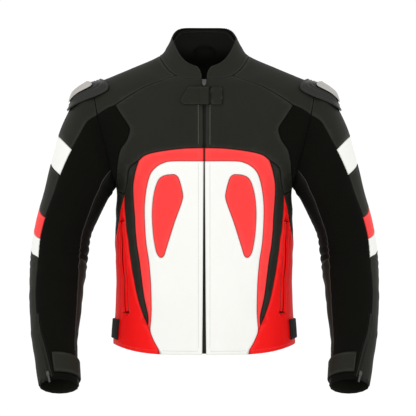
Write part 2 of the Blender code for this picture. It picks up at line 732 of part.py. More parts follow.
def pocket_slot():
    """The outline of the slot for the pocket zip, on the side panel."""
    line = locate([(164.4, -352), (162.4, -398), (160.4, -443), (158.6, -488), (156.6, -534)])
    step = np.linalg.norm(body(np.array([70.0]), np.array([10.0])) - body(np.array([71.0]), np.array([10.0])))
    wide = 7.2 / step
    return [(a - wide, r) for a, r in line] + [(a + wide, r) for a, r in line[::-1]]


def pocket_zips():
    frame = pocket_frame()
    sink = -1.2
    tape = [(-6, -1.9), (6, -1.9), (6, -0.5), (1.3, -0.5), (1.3, 0.4), (-1.3, 0.4), (-1.3, -0.5), (-6, -0.5)]
    tape = [(x, n + sink) for x, n in tape]
    add_pair("pocket_zip", *bar(frame, tape, -3, frame.length + 3), STEEL)
    hood = [(-3.4, -0.1), (-2.0, -0.1), (-2.0, 0.9), (2.0, 0.9), (2.0, -0.1), (3.4, -0.1), (3.4, 2.5), (-3.4, 2.5)]
    hood = [(x, n + sink + 0.4 if n == 2.5 else n + sink) for x, n in hood]
    points, faces = bar(frame, hood, 1, 10)
    pull = bar(frame, [(-2.2, 1.25), (2.2, 1.25), (2.2, 2.45), (-2.2, 2.45)], 8, 30)
    return frame, pair_union("pocket_slider", (points, faces), pull, frame.point(0, 5.5, 0))


def pair_union(name, base, extra, pivot):
    """A mirrored pair, each joined to its own helper."""
    add_pair(name, *base, STEEL, pivot=pivot, roughness=0.35, metallic=0.8)
    flip = np.array([-1, 1, 1])
    add("left_" + name + "_pull", *extra, STEEL, helper=True)
    add("right_" + name + "_pull", np.array(extra[0]) * flip, [f[::-1] for f in extra[1]], STEEL, helper=True)
    unite("left_" + name, "left_" + name + "_pull")
    unite("right_" + name, "right_" + name + "_pull")
    return pivot


def waist_straps():
    """Straps round the sides of the hem, sewn behind and closed in front."""
    outline = divided(BODY, [(64, 12.35), (119, 12.35), (119, 13.5), (64, 13.5), (64, 12.35)], 15)[:-1]
    made = panel(BODY, outline, outer=STRAP + STRAP_GAP, inner=STRAP_GAP, gap=0.0)
    ends = body(np.array([119.5, 119.5]), np.array([12.35, 13.5]))
    out = BODY.normals([(119.5, 12.9)])[0]
    ends = ends + out * (STRAP_GAP + STRAP / 2)
    add_pair("waist_strap", *made, BLACK, pivot=ends.mean(axis=0))
    return ends


# ---------------------------------------------------------------- sleeves
# Where the outer leather meets the stretch panel, and the stretch panel the inner one, ring by ring
OUTER_EDGE = np.array([66, 65, 63, 54, 48, 46, 44, 45, 46, 42, 45, 55, 66], dtype=float)
INNER_EDGE = np.array([132, 131, 130, 130, 128, 132, 134, 137, 140, 146, 152, 155, 158], dtype=float)
BACK_EDGE = -115.0
BAND_END = -72.0


def edge_line(edge, start, end):
    """The points of one of the two lines above, from ring to ring."""
    count = max(1, round(abs(end - start) * 2.4))
    rings = np.linspace(start, end, count + 1)
    return [(float(spline(edge[:, None], np.array([r]))[0, 0]), float(r)) for r in rings]


def band_ring(front, outside, psi, edge):
    """A band's edge: it falls from the outside of the arm to both of its ends."""
    share = psi / edge if psi > 0 else psi / BAND_END
    return outside + (front - outside) * share


def band_line(front, outside):
    """A band's edge from its front end round the outside of the arm to its rear end."""
    edge = float(spline(OUTER_EDGE[:, None], np.array([front]))[0, 0])
    turns = [edge, edge / 2, 0.0, BAND_END / 3, BAND_END * 2 / 3, BAND_END]
    return [(float(a), float(band_ring(front, outside, a, edge))) for a in turns]


def sleeve_panels():
    shoulder = SHOULDER_PIVOT
    white = band_line(2.32, 2.38), band_line(3.33, 3.12)
    red = band_line(5.0, 4.57), band_line(6.1, 5.5)
    low = band_line(6.36, 5.8), band_line(ELBOW, 6.7)
    bands = (("upper_white_band", white, WHITE), ("red_band", red, RED), ("lower_white_band", low, WHITE))
    for name, (over, under), colour in bands:
        front = edge_line(OUTER_EDGE, over[0][1], under[0][1])
        rear = divided(SLEEVE, [under[-1], over[-1]])
        outline = join(back(over), front, under, rear)
        add_pair(name, *panel(SLEEVE, outline), colour, pivot=shoulder)
    top = [(a, 0.0) for a in stops_between(0, 66)][::-1] + [(a - 360, 0.0) for a in stops_between(245, 360)][::-1][1:]
    rear = divided(SLEEVE, [(BACK_EDGE, 0.0), (BACK_EDGE, ELBOW)], 24)
    foot = divided(SLEEVE, [(BACK_EDGE, ELBOW), low[1][-1]])
    notches = []
    for over, under in (low, red, white):
        rear_end = divided(SLEEVE, [under[-1], over[-1]])
        notches += [under, rear_end, back(over)]
    parts = []
    places = [(low, red), (red, white)]
    parts += [rear_end_of(low), back(low[0])]
    for lower, upper in places:
        parts += [edge_line(OUTER_EDGE, lower[0][0][1], upper[1][0][1]), upper[1], rear_end_of(upper), back(upper[0])]
    parts.append(edge_line(OUTER_EDGE, white[0][0][1], 0.0))
    outline = join(top, rear, foot, *parts)
    add_pair("sleeve_outer", *panel(SLEEVE, outline), BLACK, pivot=shoulder)

    stretch = join(edge_line(OUTER_EDGE, 0.0, white[0][0][1]), edge_line(OUTER_EDGE, white[0][0][1], white[1][0][1]),
                   edge_line(OUTER_EDGE, white[1][0][1], red[0][0][1]), edge_line(OUTER_EDGE, red[0][0][1], red[1][0][1]),
                   edge_line(OUTER_EDGE, red[1][0][1], low[0][0][1]), edge_line(OUTER_EDGE, low[0][0][1], ELBOW),
                   elbow_line(0, 1), back(edge_line(INNER_EDGE, 0.0, ELBOW)),
                   [(a, 0.0) for a in stops_between(132, 66)])
    add_pair("sleeve_stretch", *panel(SLEEVE, stretch), FABRIC, pivot=shoulder, roughness=0.9)
    inner = join(edge_line(INNER_EDGE, 0.0, ELBOW), elbow_line(1, 2),
                 [(a + 360, r) for a, r in back(rear)], [(a, 0.0) for a in stops_between(245, 132)])
    add_pair("sleeve_inner", *panel(SLEEVE, inner), BLACK, pivot=shoulder)
    return low[1]


def rear_end_of(band):
    return divided(SLEEVE, [band[1][-1], band[0][-1]])


def elbow_line(start, end):
    """The elbow seam: from the outer edge (0) over the inner edge (1) to the rear edge (2)."""
    stops = [OUTER_EDGE, INNER_EDGE]
    angles = [float(spline(edge[:, None], np.array([ELBOW]))[0, 0]) for edge in stops] + [BACK_EDGE + 360]
    return divided(SLEEVE, [(angles[start], ELBOW), (angles[end], ELBOW)])


def forearm_panels(top_edge):
    """The two panels below the elbow."""
    elbow = ELBOW_PIVOT
    inner = edge_line(INNER_EDGE, ELBOW, CUFF)
    outer = edge_line(OUTER_EDGE, ELBOW, CUFF)
    cuff = [inner[-1][0], outer[-1][0]]
    foot = divided(SLEEVE, [(cuff[0], CUFF), (cuff[1], CUFF)])
    stretch = join(outer, back(foot), back(inner), back(elbow_line(0, 1)))
    add_pair("forearm_stretch", *panel(SLEEVE, stretch), FABRIC, pivot=elbow, roughness=0.9)
    around = divided(SLEEVE, [(cuff[1], CUFF), (cuff[0] - 360, CUFF)])
    rear = [(a - 360, r) for a, r in elbow_line(1, 2)]
    last = divided(SLEEVE, [(BACK_EDGE, ELBOW), top_edge[-1]])
    leather = join(outer, around, [(a - 360, r) for a, r in back(inner)], rear, last, back(top_edge))
    add_pair("forearm_leather", *panel(SLEEVE, leather), BLACK, pivot=elbow)


def cuff_straps():
    outline = divided(SLEEVE, [(82, 11.1), (205, 11.1), (205, 11.75), (82, 11.75), (82, 11.1)], 14)[:-1]
    made = panel(SLEEVE, outline, outer=STRAP + STRAP_GAP, inner=STRAP_GAP, gap=0.0)
    ends = sleeve(np.array([81.0, 81.0]), np.array([11.1, 11.75]))
    out = SLEEVE.normals([(81, 11.4)])[0]
    ends = ends + out * (STRAP_GAP + STRAP / 2)
    add_pair("cuff_strap", *made, BLACK, pivot=ends.mean(axis=0))
    return ends


def cuff_frame():
    """The forearm zip, which runs down the front edge of the outer leather to the cuff."""
    line = [edge_line(OUTER_EDGE, r, r)[0] for r in (9.65, 11.9)]
    ends = SLEEVE.points(line)
    middle = SLEEVE.normals([edge_line(OUTER_EDGE, 10.8, 10.8)[0]])[0]
    return Frame(ends[0], ends[1], middle)


def cuff_sliders():
    frame = cuff_frame()
    lift = 3.2
    low = frame.length - 3
    body_part = bar(frame, box_profile(3.2, lift, lift + 2.2), low - 9, low)
    pull = bar(frame, box_profile(2.0, lift + 0.4, lift + 1.6), low - 1, low + 14)
    return frame, pair_union("cuff_slider", body_part, pull, frame.point(0, low - 4.5, 0))


# ---------------------------------------------------------------- shoulder cups
CUP_CENTRE = np.array([238.0, 0.0, -95.0])
CUP_OUT = np.array([0.6, 0.0, 0.8])
CUP_ALONG = np.array([0.8, 0.0, -0.6])
# Half outline of the cup: along the shoulder line, and forward of it
CUP_OUTLINE = [(-42, 0), (-43, 27), (-43.5, 44), (-36, 51), (-14, 52), (10, 49), (30, 43), (46, 32), (53, 17), (55, 0)]
CUP_RADII = (0.34, 0.6, 0.8, 0.88, 1.0)


def under_tree(names):
    points, faces = [], []
    for name in names:
        more, sides = BUILT[name]
        faces += [tuple(i + len(points) for i in side) for side in sides]
        points += [tuple(p) for p in more]
    return BVHTree.FromPolygons([Vector(p) for p in points], faces)


def height_under(tree, along, forward):
    """How far the pieces below reach out at one place of the cup."""
    found = []
    for da, db in ((0, 0), (5, 0), (-5, 0), (0, 5), (0, -5)):
        foot = CUP_CENTRE * (WIDE, 1, LONG) + CUP_ALONG * (along + da) + np.array([0, -(forward + db), 0])
        hit = tree.ray_cast(Vector(foot + CUP_OUT * 200), Vector(-CUP_OUT))
        if hit[0] is not None:
            found.append(200 - hit[3])
    return max(found)


def cup_outline(scale, sectors):
    """Points round the cup, shrunk to its middle by scale."""
    fine = spline(np.array(CUP_OUTLINE, dtype=float), np.linspace(0, len(CUP_OUTLINE) - 1, sectors // 2 + 1))
    loop = np.concatenate([fine, fine[-2:0:-1] * (1, -1)])
    return loop * WIDE * scale


def dome(tree, scales, heights, gap, sectors=24, shrink=1.0, shift=(0.0, 0.0)):
    """A closed cap over the pieces below: rings of points with their heights over them."""
    upper, lower = [], []
    rings = [cup_outline(s * shrink, sectors) + np.array(shift) for s in scales]
    for ring, height in zip([np.array([shift]), *rings], heights):
        for along, forward in ring:
            base = height_under(tree, along, forward)
            foot = CUP_CENTRE * (WIDE, 1, LONG) + CUP_ALONG * along + np.array([0, -forward, 0])
            upper.append(foot + CUP_OUT * (base + gap + height))
            lower.append(foot + CUP_OUT * (base + gap))
    count = len(upper)
    faces = []
    for i in range(sectors):
        j = (i + 1) % sectors
        faces.append((0, 1 + i, 1 + j))
        for r in range(len(scales) - 1):
            a, b = 1 + r * sectors, 1 + (r + 1) * sectors
            faces.append((a + i, b + i, b + j, a + j))
    closed = faces + [tuple(k + count for k in f[::-1]) for f in faces]
    rim = 1 + (len(scales) - 1) * sectors
    closed += [(rim + (i + 1) % sectors, rim + i, rim + i + count, rim + (i + 1) % sectors + count) for i in range(sectors)]
    return facing_out(upper + lower, closed)


def shoulder_cups():
    names = ["left_shoulder_yoke", "left_armhole_stretch", "left_sleeve_outer", "left_sleeve_stretch", "left_chest_panel"]
    names += ["back_panel", "left_sleeve_inner", "left_upper_white_band"]
    tree = under_tree(names)
    heights = [CUP_FLANGE + CUP_RISE * f for f in (1.0, 0.9, 0.6, 0.22, 0.0, 0.0)]
    made = dome(tree, CUP_RADII, heights, CUP_GAP)
    add_pair("shoulder_cup", *made, BLACK, pivot=SHOULDER_PIVOT)
    tree = under_tree(["left_shoulder_cup"])
    plate = dome(tree, (0.5, 1.0), [1.4, 1.4, 1.0], 0.5, sectors=16, shrink=0.5, shift=(12.0, 0.0))
    add_pair("cup_insert", *plate, GREY, pivot=SHOULDER_PIVOT, roughness=0.35, metallic=0.6)


# ---------------------------------------------------------------- build
JACKET, CUTTERS = start_scene()
SHOULDER_PIVOT = np.array([183.0 * WIDE, 0.0, -60.0 * LONG])
ELBOW_PIVOT = sleeve(np.array([90.0]), np.array([ELBOW]))[0]

note_creases()
PATTERN = pattern()
body_panels(PATTERN)
collar(PATTERN)
lining()
hanger_loop()
trouser_zip()
main_zip()
main_slider()
neck_tab()
pocket_zips()
waist_straps()
forearm_panels(sleeve_panels())
cuff_straps()
cuff_sliders()
shoulder_cups()
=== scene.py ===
import math

import bmesh
import bpy
import numpy as np
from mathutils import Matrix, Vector, noise
from mathutils.bvhtree import BVHTree
from mathutils.geometry import delaunay_2d_cdt
from mathutils.kdtree import KDTree


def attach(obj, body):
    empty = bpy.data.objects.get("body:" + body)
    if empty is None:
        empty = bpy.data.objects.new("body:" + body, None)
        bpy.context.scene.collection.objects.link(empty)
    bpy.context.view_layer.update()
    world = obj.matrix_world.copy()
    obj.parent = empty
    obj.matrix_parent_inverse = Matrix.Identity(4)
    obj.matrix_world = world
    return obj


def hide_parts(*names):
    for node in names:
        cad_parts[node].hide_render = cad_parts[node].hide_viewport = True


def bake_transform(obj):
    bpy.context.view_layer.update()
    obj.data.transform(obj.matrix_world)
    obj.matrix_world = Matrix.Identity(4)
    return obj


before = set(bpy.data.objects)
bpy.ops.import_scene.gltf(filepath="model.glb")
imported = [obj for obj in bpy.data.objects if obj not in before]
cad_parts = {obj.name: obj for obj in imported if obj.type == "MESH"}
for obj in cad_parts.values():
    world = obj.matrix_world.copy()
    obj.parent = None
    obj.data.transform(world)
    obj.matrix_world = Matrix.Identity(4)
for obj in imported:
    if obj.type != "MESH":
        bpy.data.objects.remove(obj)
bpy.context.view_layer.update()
print("frame loaded")

jacket = {
    "hookY": 42.0,
    "leather": 2.4,
    "lining": 1.2,
    "liningGap": 4.0,
    "zipGap": 2.2,
    "hemGap": 7.6,
    "seamStep": 5.0,
    "seamGap": 0.2,
    "bodyPitch": 8.0,
    "sleevePitch": 7.0,
    "roll": 1.05,
    "rollWidth": 2.8,
    "zipThread": 11.5,  # from the middle to the rows beside the zip
    "hemThread": 13.72,  # ring of the rows over the hem
}

# Rings of the body from the collar's top edge (-2) over the neck seam (0) to the hem (14):
# half width, back depth, height in front, at the side and behind, roundness of the rise, squareness
bodyRings = np.array([
    (66, 54, -43, 14, 36, 3.0, 2.0),
    (75, 57, -56, -3, 12, 3.5, 2.0),
    (90, 60, -69, -22, -12, 4.0, 2.0),
    (143, 84, -82, -46, -34, 3.0, 2.1),
    (183, 100, -96, -62, -58, 3.0, 2.2),
    (222, 113, -114, -82, -90, 2.5, 2.3),
    (242, 121, -136, -116, -122, 2.0, 2.4),
    (243, 126, -162, -158, -160, 2.0, 2.5),
    (232, 128, -202, -200, -200, 2.0, 2.5),
    (206, 128, -246, -245, -245, 2.0, 2.5),
    (177, 126, -285, -284, -284, 2.0, 2.5),
    (176.5, 122, -341, -340, -340, 2.0, 2.5),
    (178, 117, -411, -410, -410, 2.0, 2.5),
    (175.5, 113, -476, -474, -475, 3.0, 2.5),
    (178, 113, -538, -532, -536, 4.0, 2.5),
    (181, 115, -580, -568, -574, 4.0, 2.5),
    (182, 117, -618, -597, -610, 4.0, 2.5),
])
hemRing = 14
front = {"depth": 98.0, "lean": 0.0437, "collarLean": 0.55}

# Rings of the sleeve from the armhole (0) to the cuff (12): inner x, z, outer x, z, half depth,
# forward shift and forward tilt
sleeveRings = np.array([
    (177.6, -284, 222.6, -82, 75, 0, 0),
    (180, -291, 255, -103, 79, 0, 0),
    (184, -297, 283, -158, 81, 0, 0),
    (189, -303, 305, -228, 80, 2, 0),
    (197, -318, 320, -290, 76, 4, 0),
    (213, -350, 336, -346, 71, 6, 2),
    (226, -382, 343, -385, 68, 6, 5),
    (232, -414, 347, -417, 66, 2, 9),
    (236, -446, 349, -446, 63, -8, 15),
    (243, -510, 349, -510, 58, -36, 22),
    (250, -574, 345, -574, 51, -68, 26),
    (252, -618, 339, -618, 45, -90, 26),
    (248, -680, 328, -680, 39, -119, 25),
])
elbowRing = 7.7
cuffRing = 12
splitRing = 5.0


# Surfaces of the body and the sleeve
def spline(rows, at):
    at = np.clip(at, 0, len(rows) - 1)
    low = np.minimum(np.floor(at).astype(int), len(rows) - 2)
    f = (at - low)[:, None]
    a, b = rows[np.maximum(low - 1, 0)], rows[low]
    c, d = rows[low + 1], rows[np.minimum(low + 2, len(rows) - 1)]
    return 0.5 * (2 * b + (c - a) * f + (2 * a - 5 * b + 4 * c - d) * f**2 + (3 * b - a - 3 * c + d) * f**3)


def smooth(low, high, value):
    share = np.clip((np.asarray(value, float) - low) / (high - low), 0, 1)
    return share * share * (3 - 2 * share)


def frontDepth(height):
    rise = height - bodyRings[2, 2]
    return front["depth"] - np.where(rise > 0, front["collarLean"], front["lean"]) * rise


def bodyPoint(angle, ring):
    # Angle 0 is in front, 90 at the wearer's left side, 180 behind.
    angle, ring = np.broadcast_arrays(np.radians(angle), ring)
    half, rear, low, side, high, rise, square = spline(bodyRings, ring + 2.0).T
    s, c = np.sin(angle), np.cos(angle)
    reach = (np.abs(s) ** square + np.abs(c) ** square) ** (-1 / square)
    rise = rise * np.where(c < 0, 1 + 1.3 * smooth(0, 2, -ring), 1.0)
    drop = 1 - np.abs(s * reach) ** rise
    z = side + (np.where(c > 0, low, high) - side) * drop
    depth = np.where(c > 0, frontDepth(low), rear)
    return np.stack([half * s * reach, -depth * c * reach, z], axis=1)


def crossing(test, low, high, size):
    low, high = np.full(size, float(low)), np.full(size, float(high))
    for _ in range(34):
        middle = (low + high) / 2
        above = test(middle) > 0
        high, low = np.where(above, middle, high), np.where(above, low, middle)
    return (low + high) / 2


def locate(points, behind=False):
    # Angle and ring of the points (x, z) seen from the front or from behind.
    x, z = np.array(points, dtype=float).reshape(-1, 2).T

    def ringAt(angle):
        return crossing(lambda r: z - bodyPoint(angle, r)[:, 2], 0, hemRing, len(x))

    def turned(angle):
        return 180 - angle if behind else angle

    angle = crossing(lambda a: bodyPoint(turned(a), ringAt(turned(a)))[:, 0] - x, 0, 90, len(x))
    return list(zip(turned(angle), ringAt(turned(angle))))


def armhole(psi):
    top, low = sleeveRings[0, 3], sleeveRings[0, 1]
    z = (top + low) / 2 + (top - low) / 2 * math.cos(math.radians(psi))
    outer, inner = sleeveRings[0, 2] - 0.6, sleeveRings[0, 0] - 1.8
    x = outer - (outer - inner) * ((top - z) / (top - low)) ** 1.35
    if psi in (0, 180, 360):
        return 90.0, locate([(2 * x, z)])[0][1]
    return locate([(x, z)], behind=psi > 180)[0]


def stopsBetween(start, end, step=3.0):
    # The same angles round the armhole for every piece that meets it.
    marks = (0, 66, 132, 165, 180, 245, 290, 360)
    found = []
    for low, high in zip(marks, marks[1:]):
        count = max(1, round((high - low) / step))
        found += [low + (high - low) * i / count for i in range(count)]
    found.append(360.0)
    low, high = min(start, end), max(start, end)
    inside = [a for a in found if low - 1e-6 <= a <= high + 1e-6]
    return inside if start < end else inside[::-1]


armAngles = stopsBetween(0, 360)
armRings = np.array([armhole(a) for a in armAngles])
armPoints = bodyPoint(armRings[:, 0], armRings[:, 1])


def plainSleeve(psi, ring):
    rows = spline(sleeveRings, ring)
    inner = np.stack([rows[:, 0], 0 * rows[:, 5], rows[:, 1]], axis=1)
    outer = np.stack([rows[:, 2], 0 * rows[:, 5], rows[:, 3]], axis=1)
    middle, half = (inner + outer) / 2, (outer - inner) / 2
    middle[:, 1] = rows[:, 5]
    tilt = np.radians(rows[:, 6])
    forward = np.stack([0 * tilt, -np.cos(tilt), np.sin(tilt)], axis=1)
    turn = np.radians(psi)[:, None]
    return middle + half * np.cos(turn) + forward * rows[:, 4:5] * np.sin(turn)


def sleevePoint(psi, ring):
    # psi 0 is outside, 90 in front, 180 inside; ring 0 is the armhole.
    psi, ring = np.broadcast_arrays(np.asarray(psi, float), np.asarray(ring, float))
    turn = np.mod(psi, 360)
    shift = armPoints - plainSleeve(np.array(armAngles), np.zeros(len(armAngles)))
    hold = 1 - smooth(0, 1.6, ring)
    fix = np.stack([np.interp(turn, armAngles, shift[:, i]) for i in range(3)], axis=1)
    return plainSleeve(psi, ring) + fix * hold[:, None]


def drift(points, size, seed):
    # Smooth random heights between -1 and 1, the same wherever two pieces meet.
    return np.array([noise.noise(Vector(p) / size + Vector((seed, 0, 0))) for p in points]) * 1.6


def scallops(phase):
    return np.abs(np.cos(np.pi * phase)) - 0.64


folds = {"calm": 0.8, "waist": 1.6, "chest": 2.0, "elbow": 4.4, "outer": 1.3, "upper": 1.8}


def bodyFolds(params, points):
    angle, ring = params.T
    x, y, z = points.T
    side = np.abs(x)
    away = smooth(0, 60, np.abs(z + 180) + np.maximum(0, 200 - side))
    high = folds["calm"] * drift(points, 52.0, 3.0)
    pull = np.exp(-((side - 150) / 34) ** 2 - ((z + 235) / 40) ** 2)
    high += folds["chest"] * pull * np.sin((side * 0.5 + z) / 9.0)
    waist = np.exp(-((z + 420) / 110) ** 2) * smooth(105, 165, side)
    wave = drift(points * (0.5, 0.5, 1.9), 46.0, 11.0)
    high += folds["waist"] * waist * wave
    behind = smooth(20, 60, y)
    high += behind * 1.6 * drift(points * (0.6, 1, 1.6), 70.0, 21.0) * smooth(0, 60, 230 - side)
    return high * (0.35 + 0.65 * away)


def sleeveFolds(params, points):
    psi, ring = params.T
    open0 = smooth(0.0, 1.2, ring)
    high = folds["calm"] * drift(points, 52.0, 3.0)
    wobble = 0.35 * drift(points, 42.0, 31.0)
    inside = 0.5 - 0.5 * np.cos(np.radians(psi))
    outside = 1 - inside
    bend = np.exp(-((ring - 7.4) / 1.35) ** 2)
    high += folds["elbow"] * bend * inside**2.2 * scallops(ring * 2.15 + wobble + 0.25 * np.sin(np.radians(psi)))
    low = np.exp(-((ring - 8.0) / 1.5) ** 2)
    high += folds["outer"] * low * outside**2 * scallops(ring * 2.5 + wobble)
    upper = np.exp(-((ring - 1.9) / 1.1) ** 2)
    high += folds["upper"] * upper * inside * np.sin(np.radians(psi * 3.2) + ring * 1.7 + wobble * 2)
    wrist = np.exp(-((ring - 10.2) / 0.7) ** 2)
    high += 0.9 * wrist * drift(points * (0.7, 0.7, 1.8), 30.0, 41.0)
    return high * open0 + folds["calm"] * drift(points, 52.0, 3.0) * (1 - open0)


class Skin:
    # A surface with two parameters, a flat chart of it, and the folds that lie on it.
    def __init__(self, surface, chartX, chartY, sign, lows, highs, shape):
        self.surface, self.scale, self.shape = surface, np.array((chartX, chartY)), shape
        self.sign, self.lows, self.highs = sign, lows, highs

    def chart(self, params):
        return np.array(params, dtype=float) * self.scale

    def points(self, params):
        params = np.array(params, dtype=float)
        return self.surface(params[:, 0], params[:, 1])

    def normals(self, params):
        u, v = np.array(params, dtype=float).T
        up = np.clip(v + 0.03, self.lows, self.highs)
        down = np.clip(v - 0.03, self.lows, self.highs)
        along = self.surface(u + 0.5, v) - self.surface(u - 0.5, v)
        across = self.surface(u, up) - self.surface(u, down)
        normal = np.cross(across, along) * self.sign
        return normal / np.linalg.norm(normal, axis=1)[:, None]

    def lay(self, params):
        # Points with the folds laid on, and the direction out of the surface.
        params = np.array(params, dtype=float)
        points, normals = self.points(params), self.normals(params)
        for i, point in enumerate(points):
            normals[i] = creases.get(tuple(np.round(point, 2)), normals[i])
        return points + normals * self.shape(params, points)[:, None], normals


creases = {}
bodySkin = Skin(bodyPoint, 2.8, -45.0, 1, -2, hemRing, bodyFolds)
sleeveSkin = Skin(sleevePoint, -1.1, -55.0, -1, 0, cuffRing, sleeveFolds)
meanNormals = bodySkin.normals(armRings) + sleeveSkin.normals([(a, 0.0) for a in armAngles])
for armPoint, meanNormal in zip(armPoints, meanNormals / np.linalg.norm(meanNormals, axis=1)[:, None]):
    creases[tuple(np.round(armPoint, 2))] = meanNormal


# Seam lines
def divided(skin, params, step=None):
    found = [tuple(params[0])]
    places = skin.points(params)
    for i in range(len(params) - 1):
        count = max(1, math.ceil(np.linalg.norm(places[i + 1] - places[i]) / (step or jacket["seamStep"])))
        a, b = np.array(params[i]), np.array(params[i + 1])
        found += [tuple(a + (b - a) * (k + 1) / count) for k in range(count)]
    return found


def curve(points, step=None):
    points = np.array(points, dtype=float)
    fine = spline(points, np.linspace(0, len(points) - 1, 24 * len(points)))
    run = np.concatenate([[0], np.cumsum(np.linalg.norm(np.diff(fine, axis=0), axis=1))])
    count = max(1, round(run[-1] / (step or jacket["seamStep"])))
    even = np.linspace(0, run[-1], count + 1)
    return np.stack([np.interp(even, run, fine[:, i]) for i in range(2)], axis=1)


def seam(points, start=None, end=None):
    found = locate(curve(points))
    if start is not None:
        found[0] = start
    if end is not None:
        found[-1] = end
    return found


def angleAt(x, ring):
    return crossing(lambda a: bodyPoint(a, np.full(1, float(ring)))[:, 0] - x, 0, 90, 1)[0]


def arm(start, end):
    return [tuple(armRings[armAngles.index(a)]) for a in stopsBetween(start, end)]


def mirrored(params):
    return [(360 - u, v) for u, v in params]


def join(*lines):
    outline = []
    for line in lines:
        for point in line:
            if not outline or np.linalg.norm(np.subtract(point, outline[-1])) > 1e-6:
                outline.append(tuple(point))
    if np.linalg.norm(np.subtract(outline[0], outline[-1])) < 1e-6:
        outline.pop()
    return outline


def back(line):
    return line[::-1]


# Materials
class Value:
    # One socket of a material; arithmetic on it adds Math nodes.
    def __init__(self, finish, socket):
        self.finish, self.socket = finish, socket

    def math(self, operation, first, second):
        return self.finish.node("ShaderNodeMath", {"operation": operation}, {0: first, 1: second})

    def __add__(self, other):
        return self.math("ADD", self, other)

    def __sub__(self, other):
        return self.math("SUBTRACT", self, other)

    def __rsub__(self, other):
        return self.math("SUBTRACT", other, self)

    def __mul__(self, other):
        return self.math("MULTIPLY", self, other)

    __radd__, __rmul__ = __add__, __mul__


class Finish:
    # A procedural material: every node comes from node(), colours are mixed by tint().
    def __init__(self, name, **fixed):
        self.material = bpy.data.materials.new(name)
        self.material.use_nodes = True
        self.tree = self.material.node_tree
        self.shader = self.tree.nodes["Principled BSDF"]
        for key, value in fixed.items():
            words = {"specular": "Specular IOR Level", "sheen": "Sheen Weight", "metallic": "Metallic"}
            self.shader.inputs[words[key]].default_value = value
        self.place = self.node("ShaderNodeTexCoord", {}, {}, "Object")

    def node(self, kind, settings, inputs, output=0):
        made = self.tree.nodes.new(kind)
        for key, value in settings.items():
            if key == "stops":
                for stop, (position, colour) in zip(made.color_ramp.elements, value):
                    stop.position, stop.color = position, colour
            else:
                setattr(made, key, value)
        for key, value in inputs.items():
            self.feed(made.inputs[key], value)
        return Value(self, made.outputs[output])

    def feed(self, socket, value):
        if isinstance(value, Value):
            self.tree.links.new(value.socket, socket)
        else:
            socket.default_value = value

    def tint(self, share, first, second):
        first, second = [(*c, 1.0) if isinstance(c, tuple) and len(c) == 3 else c for c in (first, second)]
        mixed = self.tree.nodes.new("ShaderNodeMix")
        mixed.data_type = "RGBA"
        for index, value in ((0, share), (6, first), (7, second)):
            self.feed(mixed.inputs[index], value)
        return Value(self, mixed.outputs[2])

    def noise(self, scale, detail=2.0, stretch=None):
        place = self.place
        if stretch:
            place = self.node("ShaderNodeMapping", {}, {"Vector": place, "Scale": stretch})
        return self.node("ShaderNodeTexNoise", {}, {"Vector": place, "Scale": scale, "Detail": detail}, "Fac")

    def mask(self, name):
        return self.node("ShaderNodeAttribute", {"attribute_name": name}, {}, "Fac")

    def use(self, colour, roughness, bumps=()):
        self.feed(self.shader.inputs["Base Color"], colour)
        self.feed(self.shader.inputs["Roughness"], roughness)
        normal = None
        for height, distance, strength in bumps:
            wanted = {"Height": height, "Distance": distance, "Strength": strength}
            if normal:
                wanted["Normal"] = normal
            normal = self.node("ShaderNodeBump", {}, wanted, "Normal")
        if normal:
            self.feed(self.shader.inputs["Normal"], normal)
        return self.material


def leather(name, base, deep, crestHighlight, specular, rough=0.5, crestHighlightShare=0.5, seamShade=0.3):
    made = Finish(name, specular=specular)
    pebble = made.node("ShaderNodeTexVoronoi", {"feature": "SMOOTH_F1"},
                       {"Vector": made.place, "Scale": 620.0, "Smoothness": 0.5}, "Distance")
    cloud = made.noise(14.0, 3.0)
    crease = made.noise(95.0, 4.0, (1.0, 1.0, 0.45))
    edge = made.mask("seamNear")
    crown = made.mask("crown")
    colour = made.tint(cloud * 0.5 + crease * 0.25, (*deep, 1.0), (*base, 1.0))
    colour = made.tint(edge * 0.8, colour, tuple(c * seamShade for c in deep))
    # Painted highlight: the crests of the rolled edges (the crown mask) are painted lighter, broken up by the crease
    # noise.
    colour = made.tint(crown * crestHighlightShare * crease, colour, (*crestHighlight, 1.0))
    roughness = rough + 0.12 * cloud - 0.08 * crown + 0.1 * pebble
    return made.use(colour, roughness, [(pebble, 0.0004, 0.32), (crease, 0.0011, 0.22)])


def fabric(name, light, dark, scale, specular=0.08):
    # Fine ribs across a knitted ground.
    made = Finish(name, specular=specular, sheen=0.015)
    rib = made.node("ShaderNodeTexWave", {"wave_type": "BANDS", "bands_direction": "Z"},
                    {"Vector": made.place, "Scale": scale, "Distortion": 0.6, "Detail": 1.0}, "Fac")
    cross = made.node("ShaderNodeTexWave", {"wave_type": "BANDS", "bands_direction": "X"},
                      {"Vector": made.place, "Scale": scale * 1.1, "Distortion": 0.5}, "Fac")
    cloud = made.noise(22.0, 3.0)
    knit = rib * 0.6 + cross * 0.4
    edge = made.mask("seamNear")
    colour = made.tint(knit * 0.6 + cloud * 0.4, (*dark, 1.0), (*light, 1.0))
    # Painted shade: the fabric is darkened along its seams (the seamNear mask).
    colour = made.tint(edge * 0.5, colour, (*dark, 1.0))
    return made.use(colour, 0.86 + 0.1 * cloud, [(knit, 0.0006, 0.5), (cloud, 0.0015, 0.25)])


def metal(name, light, dark, rough, metallic=0.9):
    made = Finish(name, specular=0.5, metallic=metallic)
    brush = made.noise(420.0, 3.0, (0.15, 1.0, 1.0))
    rub = made.noise(60.0, 2.0)
    colour = made.tint(rub * 0.7, (*light, 1.0), (*dark, 1.0))
    return made.use(colour, rough + 0.2 * rub + 0.08 * brush, [(brush, 0.0002, 0.3)])


